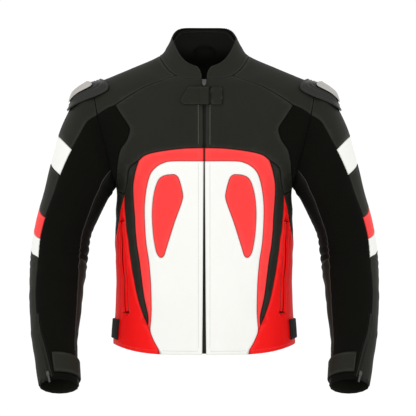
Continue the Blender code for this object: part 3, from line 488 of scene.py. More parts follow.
def plastic(name, base, deep, rough, specular=0.35):
    made = Finish(name, specular=specular)
    fine = made.noise(900.0, 2.0)
    cloud = made.noise(30.0, 3.0)
    crown = made.mask("crown")
    # Painted highlight: ridge crests in the crown mask (only the shoulder cups have it) are painted lighter; the cloud
    # noise is random tone.
    colour = made.tint(cloud * 0.6 + crown * 0.3, (*deep, 1.0), (*base, 1.0))
    return made.use(colour, rough + 0.14 * cloud, [(fine, 0.0002, 0.2)])


def threadLook(name, light, dark):
    made = Finish(name, specular=0.2)
    twist = made.noise(1500.0, 1.0)
    colour = made.tint(twist, (*dark, 1.0), (*light, 1.0))
    return made.use(colour, 0.7 + 0.1 * twist, [(twist, 0.0002, 0.3)])


looks = {
    "black": leather("black_leather", (0.0185, 0.0196, 0.014), (0.0095, 0.01, 0.0066),
                     (0.05, 0.051, 0.042), 0.1, 0.5, 0.3),
    # The black leather painted darker for the inside of the sleeves, which faces the body: a painted shade.
    "inner": leather("black_leather_inner_shade", (0.0075, 0.0075, 0.006), (0.004, 0.004, 0.003), (0.02, 0.02, 0.018), 0.07, 0.6),
    "white": leather("white_leather", (0.86, 0.862, 0.83), (0.8, 0.8, 0.765), (0.88, 0.88, 0.86),
                     0.15, 0.5, 0.2, 0.72),
    # red and the copy below are one red leather: red is painted lighter and pinker, a painted sheen; the copy below, on
    # the side panels and pocket welts, is painted deeper and more saturated, a painted shade.
    "red": leather("red_leather", (0.93, 0.052, 0.05), (0.84, 0.034, 0.032), (0.95, 0.12, 0.11), 0.2, 0.46, 0.3, 0.55),
    "sideShadeRed": leather("red_leather_side_shade", (0.93, 0.006, 0.006), (0.78, 0.003, 0.003), (0.95, 0.07, 0.06),
                       0.12, 0.46, 0.3, 0.55),
    "stretch": fabric("stretch_fabric", (0.0058, 0.0058, 0.0043), (0.0022, 0.0022, 0.0016), 230.0, 0.03),
    "lining": fabric("lining_mesh", (0.016, 0.016, 0.014), (0.004, 0.004, 0.0035), 150.0, 0.04),
    "webbing": fabric("strap_webbing", (0.022, 0.023, 0.020), (0.007, 0.007, 0.006), 320.0, 0.2),
    "redTape": fabric("red_zip_tape", (0.55, 0.014, 0.013), (0.3, 0.006, 0.006), 320.0, 0.2),
    "steel": metal("dark_steel", (0.10, 0.10, 0.095), (0.05, 0.05, 0.05), 0.34),
    "grey": metal("grey_insert", (0.47, 0.445, 0.42), (0.36, 0.34, 0.32), 0.34, 0.55),
    "teeth": plastic("zip_teeth", (0.018, 0.018, 0.017), (0.008, 0.008, 0.008), 0.4, 0.2),
    "redTeeth": plastic("red_zip_teeth", (0.6, 0.012, 0.012), (0.4, 0.006, 0.006), 0.35),
    "cup": plastic("cup_plastic", (0.020, 0.021, 0.0175), (0.009, 0.0095, 0.0075), 0.36, 0.22),
    "darkThread": threadLook("dark_thread", (0.05, 0.05, 0.043), (0.018, 0.018, 0.015)),
    "greyThread": threadLook("grey_thread", (0.42, 0.42, 0.39), (0.2, 0.2, 0.18)),
    "paleThread": threadLook("pale_thread", (0.40, 0.40, 0.37), (0.24, 0.24, 0.22)),
    "redThread": threadLook("red_thread", (0.80, 0.22, 0.2), (0.55, 0.08, 0.07)),
    "piping": plastic("grey_piping", (0.055, 0.053, 0.048), (0.03, 0.03, 0.027), 0.5, 0.25),
}
slots = {"black": "black_leather", "inner": "black_leather", "white": "white_leather",
         "red": "red_leather", "sideShadeRed": "red_leather", "stretch": "stretch_fabric",
         "lining": "lining_fabric", "steel": "dark_steel", "grey": "grey_metal", "teeth": "zip_plastic"}
print("materials made")


# Pieces
def scenePoints(points):
    return (np.asarray(points, float) - (0, jacket["hookY"], 0)) / 1000


def addPiece(name, points, faces, look, body, replaces=(), masks=None):
    # body is one body's name, which the piece is attached to; with two names the piece is left unattached where it
    # stands.
    mesh = bpy.data.meshes.new(name)
    mesh.from_pydata([tuple(p) for p in scenePoints(points)], [], [tuple(int(i) for i in f) for f in faces])
    masks = dict(masks or {})
    cut = np.asarray(masks.pop("cut", np.zeros(len(points))), bool)
    if cut.any():
        for edge in mesh.edges:
            edge.use_edge_sharp = bool(cut[edge.vertices[0]] and cut[edge.vertices[1]])
    for key, values in masks.items():
        layer = mesh.attributes.new(key, "FLOAT", "POINT")
        layer.data.foreach_set("value", np.asarray(values, np.float32))
    mesh.shade_smooth()
    mesh.materials.append(looks[look])
    obj = bpy.data.objects.new(name, mesh)
    bpy.context.scene.collection.objects.link(obj)
    if isinstance(body, str):
        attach(obj, body)
    else:
        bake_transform(obj)
    for node in replaces:
        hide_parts(node)
    look in slots
    return obj


def sided(name, side):
    return name if name.startswith("torso") or name == "zip_slider_body" else side + "_" + name


def addPair(name, points, faces, look, body, replaces=(), weights=None, masks=None):
    # The left piece and its mirror image on the right.
    for side, flip in (("left", 1), ("right", -1)):
        bodies = sided(body, side) if isinstance(body, str) else [sided(b, side) for b in body]
        turned = faces if flip == 1 else [tuple(f)[::-1] for f in faces]
        addPiece(side + "_" + name, np.asarray(points) * (flip, 1, 1), turned, look, bodies,
                 [side + "_" + r for r in replaces], masks)


def areaOf(loop):
    x, y = np.array(loop).T
    return 0.5 * np.sum(x * np.roll(y, -1) - y * np.roll(x, -1))


def isInside(points, loops):
    inside = np.zeros(len(points), dtype=bool)
    x, y = points.T
    for loop in loops:
        for (ax, ay), (bx, by) in zip(loop, np.roll(loop, -1, axis=0)):
            hit = (ay > y) != (by > y)
            slope = (bx - ax) / (by - ay) if by != ay else 0.0
            inside ^= hit & (x < (y - ay) * slope + ax)
    return inside


def edgeDistance(points, loops):
    found = np.full(len(points), 1e9)
    for loop in loops:
        for a, b in zip(loop, np.roll(loop, -1, axis=0)):
            run = b - a
            f = np.clip(((points - a) @ run) / max(run @ run, 1e-9), 0, 1)
            found = np.minimum(found, np.linalg.norm(points - (a + f[:, None] * run), axis=1))
    return found


def seamDistance(chart, edges):
    found = np.full(len(chart), 1e9)
    for i, j in edges:
        a, run = chart[i], chart[j] - chart[i]
        f = np.clip(((chart - a) @ run) / max(run @ run, 1e-9), 0, 1)
        found = np.minimum(found, np.linalg.norm(chart - (a + f[:, None] * run), axis=1))
    return found


def insideLoops(loops, distances):
    # Rows of points at set distances inside the loops, to carry the rolled edge.
    rows = []
    for loop in loops:
        along = np.roll(loop, -1, axis=0) - np.roll(loop, 1, axis=0)
        along /= np.maximum(np.linalg.norm(along, axis=1), 1e-9)[:, None]
        inward = np.stack([-along[:, 1], along[:, 0]], axis=1)
        for distance in distances:
            row = loop + inward * distance
            rows.append(row[isInside(row, loops) & (edgeDistance(row, loops) > distance * 0.85)])
    return np.concatenate(rows) if rows else np.zeros((0, 2))


def filling(loops, pitch, clear):
    low, high = loops[0].min(axis=0), loops[0].max(axis=0)
    rows = []
    for j, y in enumerate(np.arange(low[1] + pitch / 2, high[1], pitch * 0.87)):
        x = np.arange(low[0] + (pitch / 2 if j % 2 else 0), high[0], pitch)
        rows.append(np.stack([x, np.full(len(x), y)], axis=1))
    if not rows:
        return np.zeros((0, 2))
    grid = np.concatenate(rows)
    grid = grid[isInside(grid, loops)]
    return grid[edgeDistance(grid, loops) > clear]


def drawnIn(points, normals, loops, gap):
    moved = points.copy()
    for loop in loops:
        places = points[loop]
        out = normals[loop]
        first = np.cross(out, places - np.roll(places, 1, axis=0))
        second = np.cross(out, np.roll(places, -1, axis=0) - places)
        first /= np.linalg.norm(first, axis=1)[:, None]
        second /= np.linalg.norm(second, axis=1)[:, None]
        middle = first + second
        middle /= np.maximum(np.linalg.norm(middle, axis=1), 1e-6)[:, None]
        reach = np.maximum(np.sum(middle * first, axis=1), 0.35)
        moved[loop] = places + middle * (gap / reach)[:, None]
    return moved


stitches = {}  # look and bodies: list of (places, faces, weights)


def stitchRow(places, outs, key, weights=None, length=3.3, wide=0.5, high=0.36):
    # One row of thread: a slim lozenge for every stitch.
    run = np.concatenate([[0], np.cumsum(np.linalg.norm(np.diff(places, axis=0), axis=1))])
    if run[-1] < 12:
        return
    count = int(run[-1] / (length * 1.42))
    middle = (np.arange(count) + 0.5) * run[-1] / count

    def at(values, where):
        return np.stack([np.interp(where, run, values[:, i]) for i in range(values.shape[1])], axis=1)

    start, end, out = at(places, middle - length / 2), at(places, middle + length / 2), at(outs, middle)
    out /= np.linalg.norm(out, axis=1)[:, None]
    side = np.cross(out, end - start)
    side /= np.maximum(np.linalg.norm(side, axis=1), 1e-9)[:, None]
    centre = (start + end) / 2
    rings = [start - out * 0.2, centre - side * wide, centre + out * high, centre + side * wide,
             centre - out * 0.3, end - out * 0.2]
    points = np.stack(rings, axis=1).reshape(-1, 3)
    faces = []
    for i in range(count):
        for a, b in ((1, 2), (2, 3), (3, 4), (4, 1)):
            faces += [(6 * i, 6 * i + b, 6 * i + a), (6 * i + 5, 6 * i + a, 6 * i + b)]
    shares = None
    if weights is not None:
        shares = np.repeat(np.interp(middle, run, weights), 6)
    stitches.setdefault(key, []).append((points, faces, shares))


def shoulderShare(ring):
    return smooth(0.0, 4.7, ring)


def elbowShare(ring):
    return smooth(6.2, 9.2, ring)


def sewnPanel(skin, outline, holes=(), top=0.0, low=None, gap=None, pitch=None, roll=None, thread=None, inset=3.0,
              skip=None, stitchBody=None, share=None, plain=()):
    # An even layer of the skin inside an outline, its edges rolled down, with thread along them.
    low = -jacket["leather"] if low is None else low
    gap = jacket["seamGap"] if gap is None else gap
    roll = jacket["roll"] if roll is None else roll
    wide = jacket["rollWidth"]
    params, loops = [], []
    for k, loop in enumerate([outline, *holes]):
        if (areaOf(skin.chart(loop)) < 0) == (k == 0):
            loop = loop[::-1]
        loops.append(list(range(len(params), len(params) + len(loop))))
        params += list(loop)
    flat = [skin.chart([params[i] for i in loop]) for loop in loops]
    pitch = pitch or jacket["bodyPitch"]
    extra = np.concatenate([insideLoops(flat, (0.8, 2.2)), filling(flat, pitch, 5.4)])
    params += [tuple(p) for p in extra / skin.scale]
    chart = skin.chart(params)
    edges = [(a, b) for loop in loops for a, b in zip(loop, loop[1:] + loop[:1])]
    result = delaunay_2d_cdt([Vector(p) for p in chart], edges, [], 0, 1e-7)
    sources = [group[0] for group in result[3]]
    faces = np.array([[sources[i] for i in face] for face in result[2]])
    corners = chart[faces]
    areas = 0.5 * np.cross(corners[:, 1] - corners[:, 0], corners[:, 2] - corners[:, 0])
    keep = isInside(corners.mean(axis=1), flat) & (np.abs(areas) > 0.003)
    faces = [tuple(f) if area > 0 else tuple(f[::-1]) for f, area, kept in zip(faces, areas, keep) if kept]
    onCut = np.zeros(len(params), dtype=bool)  # cuts inside one leather, not seams
    for ring in plain:
        onCut |= np.abs(np.array(params)[:, 1] - ring) < 1e-6
    away = seamDistance(chart, [(a, b) for a, b in edges if not (onCut[a] and onCut[b])])
    points, normals = skin.lay(params)
    drawn = drawnIn(points, normals, loops, gap)
    points = np.where(onCut[:, None], points, drawn)
    fall = roll * np.clip(1 - away / wide, 0, 1) ** 2
    crown = np.exp(-((away - 2.2) / 1.2) ** 2)
    count = len(points)
    upper = top - fall + 0.16 * crown * (roll > 0)
    both = np.concatenate([points + normals * upper[:, None], points + normals * low])
    closed = faces + [tuple(i + count for i in f[::-1]) for f in faces]
    for a, b in edges:
        closed += [(b, a, a + count), (b, a + count, b + count)]
    masks = {"seamNear": np.clip(1 - away / 2.2, 0, 1), "crown": crown, "cut": onCut}
    masks = {key: np.tile(values, 2) for key, values in masks.items()}
    rings = np.tile(np.array(params)[:, 1], 2)
    if thread:
        for loop, shape in zip(loops, flat):
            step = np.roll(shape, -1, axis=0) - shape
            inward = np.stack([-step[:, 1], step[:, 0]], axis=1)
            inward /= np.maximum(np.linalg.norm(inward, axis=1), 1e-9)[:, None]
            middle = (shape + np.roll(shape, -1, axis=0)) / 2 + inward * inset
            cut = onCut[loop] & np.roll(onCut[loop], -1)
            good = ~cut & isInside(middle, flat) & (edgeDistance(middle, flat) > inset * 0.9)
            if skip is not None:
                good &= ~skip(middle / skin.scale)
            runs, current = [], []
            for i, fine in enumerate(good):
                if fine:
                    current.append(i)
                elif current:
                    runs.append(current)
                    current = []
            if current:
                if runs and good[0]:
                    runs[0] = current + runs[0]
                else:
                    runs.append(current)
            for chosen in runs:
                if len(chosen) < 4:
                    continue
                where = middle[chosen] / skin.scale
                places, outs = skin.lay(where)
                shares = share(where[:, 1]) if share else None
                stitchRow(places + outs * (top + 0.12), outs, (thread, stitchBody or "torso"), shares)
    return both, closed, masks, rings


# Straight runs: x across, t down, n out of the surface
class Run:
    def __init__(self, start, end, out):
        self.start = np.array(start, dtype=float)
        run = np.array(end, dtype=float) - self.start
        self.length = float(np.linalg.norm(run))
        self.down = run / self.length
        out = np.array(out, dtype=float)
        out -= self.down * (out @ self.down)
        self.out = out / np.linalg.norm(out)
        self.across = np.cross(self.out, self.down)

    def point(self, x, t, n):
        return self.start + self.across * x + self.down * t + self.out * n


def facingOut(points, faces):
    work = bmesh.new()
    verts = [work.verts.new(p) for p in points]
    for face in faces:
        work.faces.new([verts[int(i)] for i in face])
    bmesh.ops.recalc_face_normals(work, faces=work.faces)
    work.verts.index_update()
    turned = [tuple(v.index for v in face.verts) for face in work.faces]
    if work.calc_volume(signed=True) < 0:
        turned = [f[::-1] for f in turned]
    work.free()
    return np.array([list(p) for p in points]), turned


def bar(run, profile, stops):
    # A closed outline (x, n) carried along the stops.
    count = len(profile)
    points = [run.point(x, t, n) for t in stops for x, n in profile]
    faces = [tuple(range(count))[::-1], tuple(range(count * (len(stops) - 1), count * len(stops)))]
    for k in range(len(stops) - 1):
        a, b = k * count, (k + 1) * count
        faces += [(a + i, a + (i + 1) % count, b + (i + 1) % count, b + i) for i in range(count)]
    return facingOut(points, faces)


def roundProfile(half, low, high, corner, steps=3):
    # A box outline with rounded corners.
    found = []
    for cx, cn, start in ((half - corner, high - corner, 0), (-half + corner, high - corner, 90),
                          (-half + corner, low + corner, 180), (half - corner, low + corner, 270)):
        for k in range(steps + 1):
            a = math.radians(start + 90 * k / steps)
            found.append((cx + corner * math.cos(a), cn + corner * math.sin(a)))
    return found


def merged(parts):
    points, faces = [], []
    for more, sides in parts:
        start = sum(len(p) for p in points)
        points.append(np.asarray(more))
        faces += [tuple(int(i) + start for i in side) for side in sides]
    return np.concatenate(points), faces


def unit(vectors):
    return vectors / np.linalg.norm(vectors, axis=1)[:, None]


def sideways(path, outs):
    # The direction across a path that lies on a surface.
    return unit(np.cross(np.gradient(path, axis=0), outs))


def swept(path, across, up, wide, high, sides):
    # An oval section along a path.
    turns = np.linspace(0, 2 * math.pi, sides, endpoint=False)
    oval = wide * np.cos(turns)[:, None, None] * across + high * np.sin(turns)[:, None, None] * up
    points = (path + oval).transpose(1, 0, 2).reshape(-1, 3)
    faces = [(k * sides + i, k * sides + (i + 1) % sides, (k + 1) * sides + (i + 1) % sides, (k + 1) * sides + i)
             for k in range(len(path) - 1) for i in range(sides)]
    faces += [tuple(range(sides))[::-1], tuple(range(sides * (len(path) - 1), sides * len(path)))]
    return facingOut(points, faces)


def tube(path, outs, radius, sides=8):
    # A round cord along a path.
    across = sideways(path, outs)
    return swept(path, across, np.cross(across, unit(np.gradient(path, axis=0))), radius, radius, sides)


def zipTeeth(run, t0, t1, n, pitch=2.6, half=2.3, high=0.8):
    # Two rows of moulded teeth that mesh in the middle.
    parts = []
    for k in range(int((t1 - t0) / pitch)):
        t = t0 + (k + 0.5) * pitch
        x = 0.55 if k % 2 else -0.55
        profile = [(px + x, pn) for px, pn in roundProfile(half * 0.72, n - high, n + high, 0.35, 1)]
        parts.append(bar(run, profile, (t - pitch * 0.36, t + pitch * 0.36)))
    return merged(parts)


# The pattern: seams of the left half, by name
def makePattern():
    halfGap, hemGap = jacket["zipGap"] / 2, jacket["hemGap"] / 2
    p = {}
    neck = [(angleAt(x, 0), 0.0) for x in (halfGap, 4.5, 56)] + [(140.0, 0.0), (180.0, 0.0)]
    p["neckFront"] = [neck[0], *divided(bodySkin, neck[1:3])]
    p["neckYoke"] = divided(bodySkin, neck[2:4])
    p["neckBack"] = divided(bodySkin, neck[3:5])
    hem = [(angleAt(x, hemRing), hemRing) for x in (hemGap, 88)] + [(98.0, hemRing), (135.0, hemRing), (180.0, hemRing)]
    for key, a, b in zip(("hemFront", "hemSide", "hemBackSide", "hemBack"), hem, hem[1:]):
        p[key] = divided(bodySkin, [a, b])
    yokeCorner, archCorner, sideCorner = locate([(178, -121), (130, -231.6), (160, -299)])
    bandTip, archTip = locate([(112, -560), (107, -571)])
    p["yokeFront"] = seam([(56, -62), (105, -79), (135, -94), (178, -121)], neck[2], yokeCorner)
    p["yokeEnd"] = divided(bodySkin, [yokeCorner, arm(66, 66)[0]])
    gusset = [(178, -121), (166, -140), (150, -164), (149, -175), (155, -192), (166, -207), (171, -222), (174, -250)]
    p["gusset"] = seam([*gusset, (177, -280)], yokeCorner, arm(165, 165)[0])
    p["yokeBack"] = divided(bodySkin, [neck[3], (138, 1.6), (134, 3.2), arm(290, 290)[0]])
    archTop, archLow = locate([(halfGap, -206.6), (halfGap, -233)])
    outerTop = [(halfGap, -206.6), (44, -208), (91, -214), (117, -221), (130, -231.6)]
    p["archTop"] = seam(outerTop, archTop, archCorner)
    outer = [(130, -231.6), (138, -255), (142, -293), (139, -337), (135, -390), (128, -440), (120, -501)]
    p["archOuter"] = seam([*outer, (112, -540), (112, -560)], archCorner, bandTip)
    p["archTip"] = divided(bodySkin, [bandTip, archTip])
    corner = [(halfGap, -233), (62, -233), (82, -237), (97, -246), (108, -261), (116, -293), (119, -334)]
    leg = [(116, -390), (110, -434), (106, -478), (105, -522), (106, -548), (108, -570)]
    p["archInner"] = seam(corner + leg, archLow, archTip)
    p["chestSide"] = seam([(130, -231.6), (146, -243), (152, -254), (154, -276), (160, -299)], archCorner, sideCorner)
    p["armpit"] = divided(bodySkin, [sideCorner, arm(180, 180)[0]])
    inner = [(160, -299), (157, -346), (151, -392), (141, -463), (131, -509), (119, -546)]
    p["sideInner"] = seam(inner, sideCorner, bandTip)
    p["frontLow"] = seam([(108, -570), (100, -590), (88, -611)], archTip, hem[1])
    turn = locate([(167, -334), (172.5, -368)])
    p["sideOuter"] = divided(bodySkin, [sideCorner, *turn, (87, 9.9), (94, 11.4), hem[2]])
    p["sideBack"] = divided(bodySkin, [arm(245, 245)[0], (127, 8.6), (131, 11), hem[3]])
    p["zipChest"] = divided(bodySkin, [neck[0], archTop])
    p["zipArch"] = divided(bodySkin, [archTop, archLow])
    p["zipFront"] = divided(bodySkin, [archLow, hem[0]])
    drop = [(60, -259), (78, -261), (91, -270), (100, -296), (104, -334), (102, -375), (98, -402), (94, -417)]
    drop += [(87, -425), (80, -421), (75, -406), (60, -358), (44, -313), (43, -295), (51, -266)]
    p["drop"] = locate(curve([*drop, drop[0]])[:-1])
    return p


def pocketSlot():
    line = locate([(164.4, -352), (162.4, -398), (160.4, -443), (158.6, -488), (156.6, -534)])
    line = divided(bodySkin, line)
    step = np.linalg.norm(bodyPoint(np.array([70.0]), np.array([10.0])) - bodyPoint(np.array([71.0]), np.array([10.0])))
    wide = 7.2 / step
    return [(a - wide, r) for a, r in line] + [(a + wide, r) for a, r in line[::-1]]


pattern = makePattern()


def nearZip(params):
    # Leaves out thread near the front edges and the hem, which have rows of their own.
    x = bodyPoint(params[:, 0], params[:, 1])[:, 0]
    return (np.abs(x) < 9) | (params[:, 1] > 13.6)


def makeBody(p):
    left = {
        "chest_panel": (join(p["neckFront"], p["yokeFront"], p["gusset"], arm(165, 180), back(p["armpit"]),
                             back(p["chestSide"]), back(p["archTop"]), back(p["zipChest"])), "black", "darkThread"),
        "armhole_stretch": (join(p["yokeEnd"], arm(66, 165), back(p["gusset"])), "stretch", None),
        "shoulder_yoke": (join(p["neckYoke"], p["yokeBack"], arm(290, 360), arm(0, 66), back(p["yokeEnd"]),
                               back(p["yokeFront"])), "black", "darkThread"),
        "arch_band": (join(p["archTop"], p["archOuter"], p["archTip"], back(p["archInner"]), back(p["zipArch"])),
                      "red", None),
        "side_band": (join(p["chestSide"], p["sideInner"], back(p["archOuter"])), "black", None),
        "front_panel": (join(p["archInner"], p["frontLow"], back(p["hemFront"]), back(p["zipFront"])), "white", None),
        "chest_insert": (p["drop"], "red", None),
        "side_panel": (join(p["sideOuter"], back(p["hemSide"]), back(p["frontLow"]), back(p["archTip"]),
                            back(p["sideInner"])), "sideShadeRed", None),
        "back_side_panel": (join(back(p["armpit"]), p["sideOuter"], p["hemBackSide"], back(p["sideBack"]),
                                 arm(245, 180)), "black", "darkThread"),
    }
    holes = {"front_panel": [p["drop"]], "side_panel": [pocketSlot()]}
    for name, (outline, look, thread) in left.items():
        points, faces, masks, _ = sewnPanel(bodySkin, outline, holes.get(name, ()), thread=thread, skip=nearZip)
        addPair(name, points, faces, look, "torso", [name], masks=masks)
        if name in ("shoulder_yoke", "armhole_stretch", "chest_panel"):
            under.append((points, faces))
    half = join(back(p["neckBack"]), p["yokeBack"], arm(290, 245), p["sideBack"], p["hemBack"])
    points, faces, masks, _ = sewnPanel(bodySkin, half + mirrored(half[-2:0:-1]), thread="darkThread", skip=nearZip)
    addPiece("back_panel", points, faces, "black", "torso", ["back_panel"], masks=masks)
    under.append((points, faces))
    # Rows beside the front zip and over the hem.
    x, lift = jacket["zipThread"], jacket["hemThread"]
    rows = [(locate([(x, z) for z in np.arange(high, low, -4.0)]), thread)
            for high, low, thread in ((-92, -203, "greyThread"), (-209, -231, "redThread"), (-236, -606, "paleThread"))]
    ends = ((angleAt(x, lift), angleAt(85, lift), "paleThread"), (angleAt(88, lift), 97.0, "redThread"),
            (99.0, 179.5, "darkThread"))
    rows += [([(a, lift) for a in np.arange(start, end, 1.5)], thread) for start, end, thread in ends]
    for row, thread in rows:
        places, outs = bodySkin.lay(row)
        stitchRow(places + outs * 0.15, outs, (thread, "torso"))


under = []  # pieces that the shoulder cup lies on
makeBody(pattern)
print("body panels sewn")


# Collar, lining, hanger and connection zip
collar = {"facing": 1.5, "cord": 0.7, "cordDepth": 8.0, "thread": 3.0}


def makeCollar(p):
    top = [(angleAt(8, -1.3), -1.3), (angleAt(14, -1.85), -1.85), (angleAt(24, -2), -2.0)]
    rise = divided(bodySkin, [p["neckFront"][1], (angleAt(5.5, -0.8), -0.8), *top])
    rim = divided(bodySkin, [top[-1], (60.0, -2.0), (100.0, -2.0), (140.0, -2.0), (180.0, -2.0)])
    foot = join(p["neckFront"][1:], p["neckYoke"], p["neckBack"])
    half = join(back(foot), rise, rim)
    points, faces, masks, _ = sewnPanel(bodySkin, half + mirrored(half[-2:0:-1]), thread="darkThread",
                                        inset=collar["thread"], pitch=6.0)
    addPiece("collar", points, faces, "black", "torso", ["collar"], masks=masks)
    # A soft facing inside the rim, ended by a corded seam.
    start = angleAt(19, -1.75)
    facing = divided(bodySkin, [(start, -1.78), (60.0, -1.9), (120.0, -1.93), (180.0, -1.93)])
    lower = divided(bodySkin, [(180.0, -1.62), (120.0, -1.58), (60.0, -1.5), (start, -1.45)])
    outline = join(facing, back(mirrored(facing)), mirrored(back(lower)), lower)
    low = -jacket["leather"] - collar["facing"]
    points, faces, masks, _ = sewnPanel(bodySkin, outline, top=-jacket["leather"] - 0.1, low=low, gap=0.0,
                                        pitch=6.0, roll=0.0)
    addPiece("collar_facing", points, faces, "stretch", "torso", masks=masks)
    path = [(a, r) for a, r in back(lower)] + mirrored(lower)
    places, outs = bodySkin.lay(path)
    points, faces = tube(places - outs * collar["cordDepth"], outs, collar["cord"])
    addPiece("collar_cord", points, faces, "black", "torso")


def makeLining():
    edge = 17.0
    forward = locate([(edge, z) for z in np.linspace(-590, -90, 60)])
    forward += [(angleAt(edge, r), r) for r in (0.0, -1.0)] + [(angleAt(24, -1.8), -1.8)]
    up = divided(bodySkin, [(angleAt(edge, 13.7), 13.7), *forward], 12)
    over = divided(bodySkin, [forward[-1], (90.0, -1.8), (180.0, -1.8)], 12)
    below = divided(bodySkin, [(180.0, 13.7), (90.0, 13.7), up[0]], 12)
    half = join(back(over), back(up), back(below))
    loop = []
    for psi in np.arange(0, 360, 8.0):
        angle, ring = armhole(psi)
        loop.append((90 + (angle - 90) * 1.14, 6.3 + (ring - 6.3) * (1.35 if ring > 6.3 else 1.1)))
    outer = -jacket["leather"] - jacket["liningGap"]
    points, faces, masks, _ = sewnPanel(bodySkin, half + mirrored(half[-2:0:-1]), [loop, mirrored(loop)], outer,
                                        outer - jacket["lining"], gap=0.1, pitch=13.0, roll=0.0)
    addPiece("lining", points, faces, "lining", "torso", ["lining"], masks=masks)


makeCollar(pattern)
makeLining()


def dress(node, look, bevel=0.0):
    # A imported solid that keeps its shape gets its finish, and eased edges where it is hard.
    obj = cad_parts[node]
    obj.data.materials.clear()
    obj.data.materials.append(looks[look])
    if bevel:
        ease = obj.modifiers.new("ease", "BEVEL")
        ease.width, ease.segments, ease.limit_method, ease.angle_limit = bevel / 1000, 2, "ANGLE", math.radians(30)
        obj.modifiers.new("level", "WEIGHTED_NORMAL")


for node, look, bevel in (("hanger_loop", "stretch", 0.3), ("trouser_zip", "webbing", 0.3), ("wind_flap", "black", 0.4),
                          ("zip_slider", "steel", 0.4), ("zip_puller", "steel", 0.25)):
    dress(node, look, bevel)
print("collar and lining made")


# Main zip
zipRun = Run(*bodyPoint(np.array([0.0, 0.0]), np.array([0.0, float(hemRing)])), (0, -1, 0))


def makeMainZip():
    top, low = 8.0, zipRun.length - 8
    stops = np.linspace(top, low, 60)
    for side, flip in (("left", 1), ("right", -1)):
        tape = [(0.3 * flip, -4.3), (0.3 * flip, -3.1), (10 * flip, -3.0), (10 * flip, -3.8)]
        points, faces = bar(zipRun, tape, stops)
        addPiece(side + "_zip_tape", points, faces, "webbing", "torso", [side + "_zip_tape"])
    points, faces = zipTeeth(zipRun, top + 2, low, -3.2)
    addPiece("main_zip_teeth", points, faces, "teeth", "torso")


makeMainZip()


# Neck tab: a strap that folds over the top of the zip
tab = {"top": 15.2, "low": 52.0, "thick": 2.2}


def makeTab():
    rise = np.array([(10.2, 0.6), (8.8, 4.4), (6.6, 5.3), (-1, 5.5), (-8.0, 5.2), (-12.5, 1.9),
                     (-20, 1.2), (-31, 0.8), (-40, 0.5), (-48, 0.2)])
    columns = spline(rise, np.linspace(0, len(rise) - 1, 55))
    rows = np.linspace(0, 1, 25)
    upper, lower, away = [], [], []
    for x, n in columns:
        start = tab["top"] + max(0, -31 - x) * 28 / 17
        end = tab["low"] - max(0, -40 - x) * 7 / 8
        for v in rows:
            t = start + (end - start) * v
            edge = min((t - start) * 0.87, end - t, (x + 48.2) * 1.0, 12)
            fall = 1.1 * max(0.0, 1 - edge / 2.6) ** 2
            upper.append(zipRun.point(x, t, n + tab["thick"] - fall))
            lower.append(zipRun.point(x, t, n))
            away.append(edge)
    count, wide = len(upper), len(rows)
    faces = []
    for i in range(len(columns) - 1):
        for j in range(wide - 1):
            a = i * wide + j
            quad = (a, a + 1, a + 1 + wide, a + wide)
            faces += [quad, tuple(k + count for k in quad[::-1])]
    rim = [i * wide for i in range(len(columns))] + [(len(columns) - 1) * wide + j for j in range(1, wide)]
    rim += [i * wide + wide - 1 for i in range(len(columns) - 2, -1, -1)] + [j for j in range(wide - 2, 0, -1)]
    for a, b in zip(rim, rim[1:] + rim[:1]):
        faces.append((a, b, b + count, a + count))
    points, faces = facingOut(upper + lower, faces)
    away = np.array(away)
    masks = {"seamNear": np.tile(np.clip(1 - away / 2.5, 0, 1), 2),
             "crown": np.tile(np.exp(-((away - 2) / 1.2) ** 2), 2)}
    addPiece("neck_tab", points, faces, "black", "neck_tab_body", ["neck_tab"], masks=masks)
    grid = np.array(upper).reshape(len(columns), wide, 3)
    inset = 2  # grid steps from the edge to the thread
    ring = np.concatenate([grid[3:52, inset], grid[51, inset:wide - inset], grid[51:2:-1, wide - 1 - inset]])
    ring = ring + zipRun.out * 0.1
    stitchRow(ring, np.tile(zipRun.out, (len(ring), 1)), ("darkThread", "neck_tab_body"))
    base = [(11.2, -85), (36, -85), (36, -121), (11.2, -121)]
    outline = divided(bodySkin, locate([*base, base[0]]))[:-1]
    points, faces, masks, _ = sewnPanel(bodySkin, outline, top=3.0, low=0.4, gap=0.0, pitch=4.0, thread="darkThread")
    addPiece("neck_tab_base", points, faces, "black", "torso", ["neck_tab_base"], masks=masks)


makeTab()
print("zip and tab made")


# Pockets
pocket = {"sink": -1.2, "weltAt": 5.1, "weltHalf": 3.4, "weltHigh": 1.25, "threadAt": 10.5}


def makePockets():
    ends = bodySkin.points(locate([(164, -358), (157, -528)]))
    middle = bodySkin.normals(locate([(160, -443)]))[0]
    run = Run(ends[0], ends[1], middle)
    sink = pocket["sink"]
    stops = np.linspace(-3, run.length + 3, 30)
    points, faces = bar(run, roundProfile(6, sink - 1.9, sink - 0.9, 0.3), stops)
    addPair("pocket_zip", points, faces, "redTape", "torso", ["pocket_zip"])
    points, faces = zipTeeth(run, 0, run.length, sink - 0.4, 2.2, 1.9, 0.7)
    addPair("pocket_zip_teeth", points, faces, "redTeeth", "torso")
    line = locate([(164.4, -353.5), (162.4, -398), (160.4, -443), (158.6, -488), (156.6, -532.5)])
    line = divided(bodySkin, line, 4)
    welts = []
    for side in (-1, 1):
        places, outs = bodySkin.lay(line)
        across = sideways(places, outs)
        path = places + across * side * pocket["weltAt"] - outs * 0.1
        welts.append(swept(path, across, outs, pocket["weltHalf"], pocket["weltHigh"], 12))
        stitchRow(places + across * side * pocket["threadAt"] + outs * 0.2, outs, ("redThread", "torso"))
    points, faces = merged(welts)
    addPair("pocket_welt", points, faces, "sideShadeRed", "torso")
    for side in ("left", "right"):
        dress(side + "_pocket_slider", "redTeeth", 0.3)


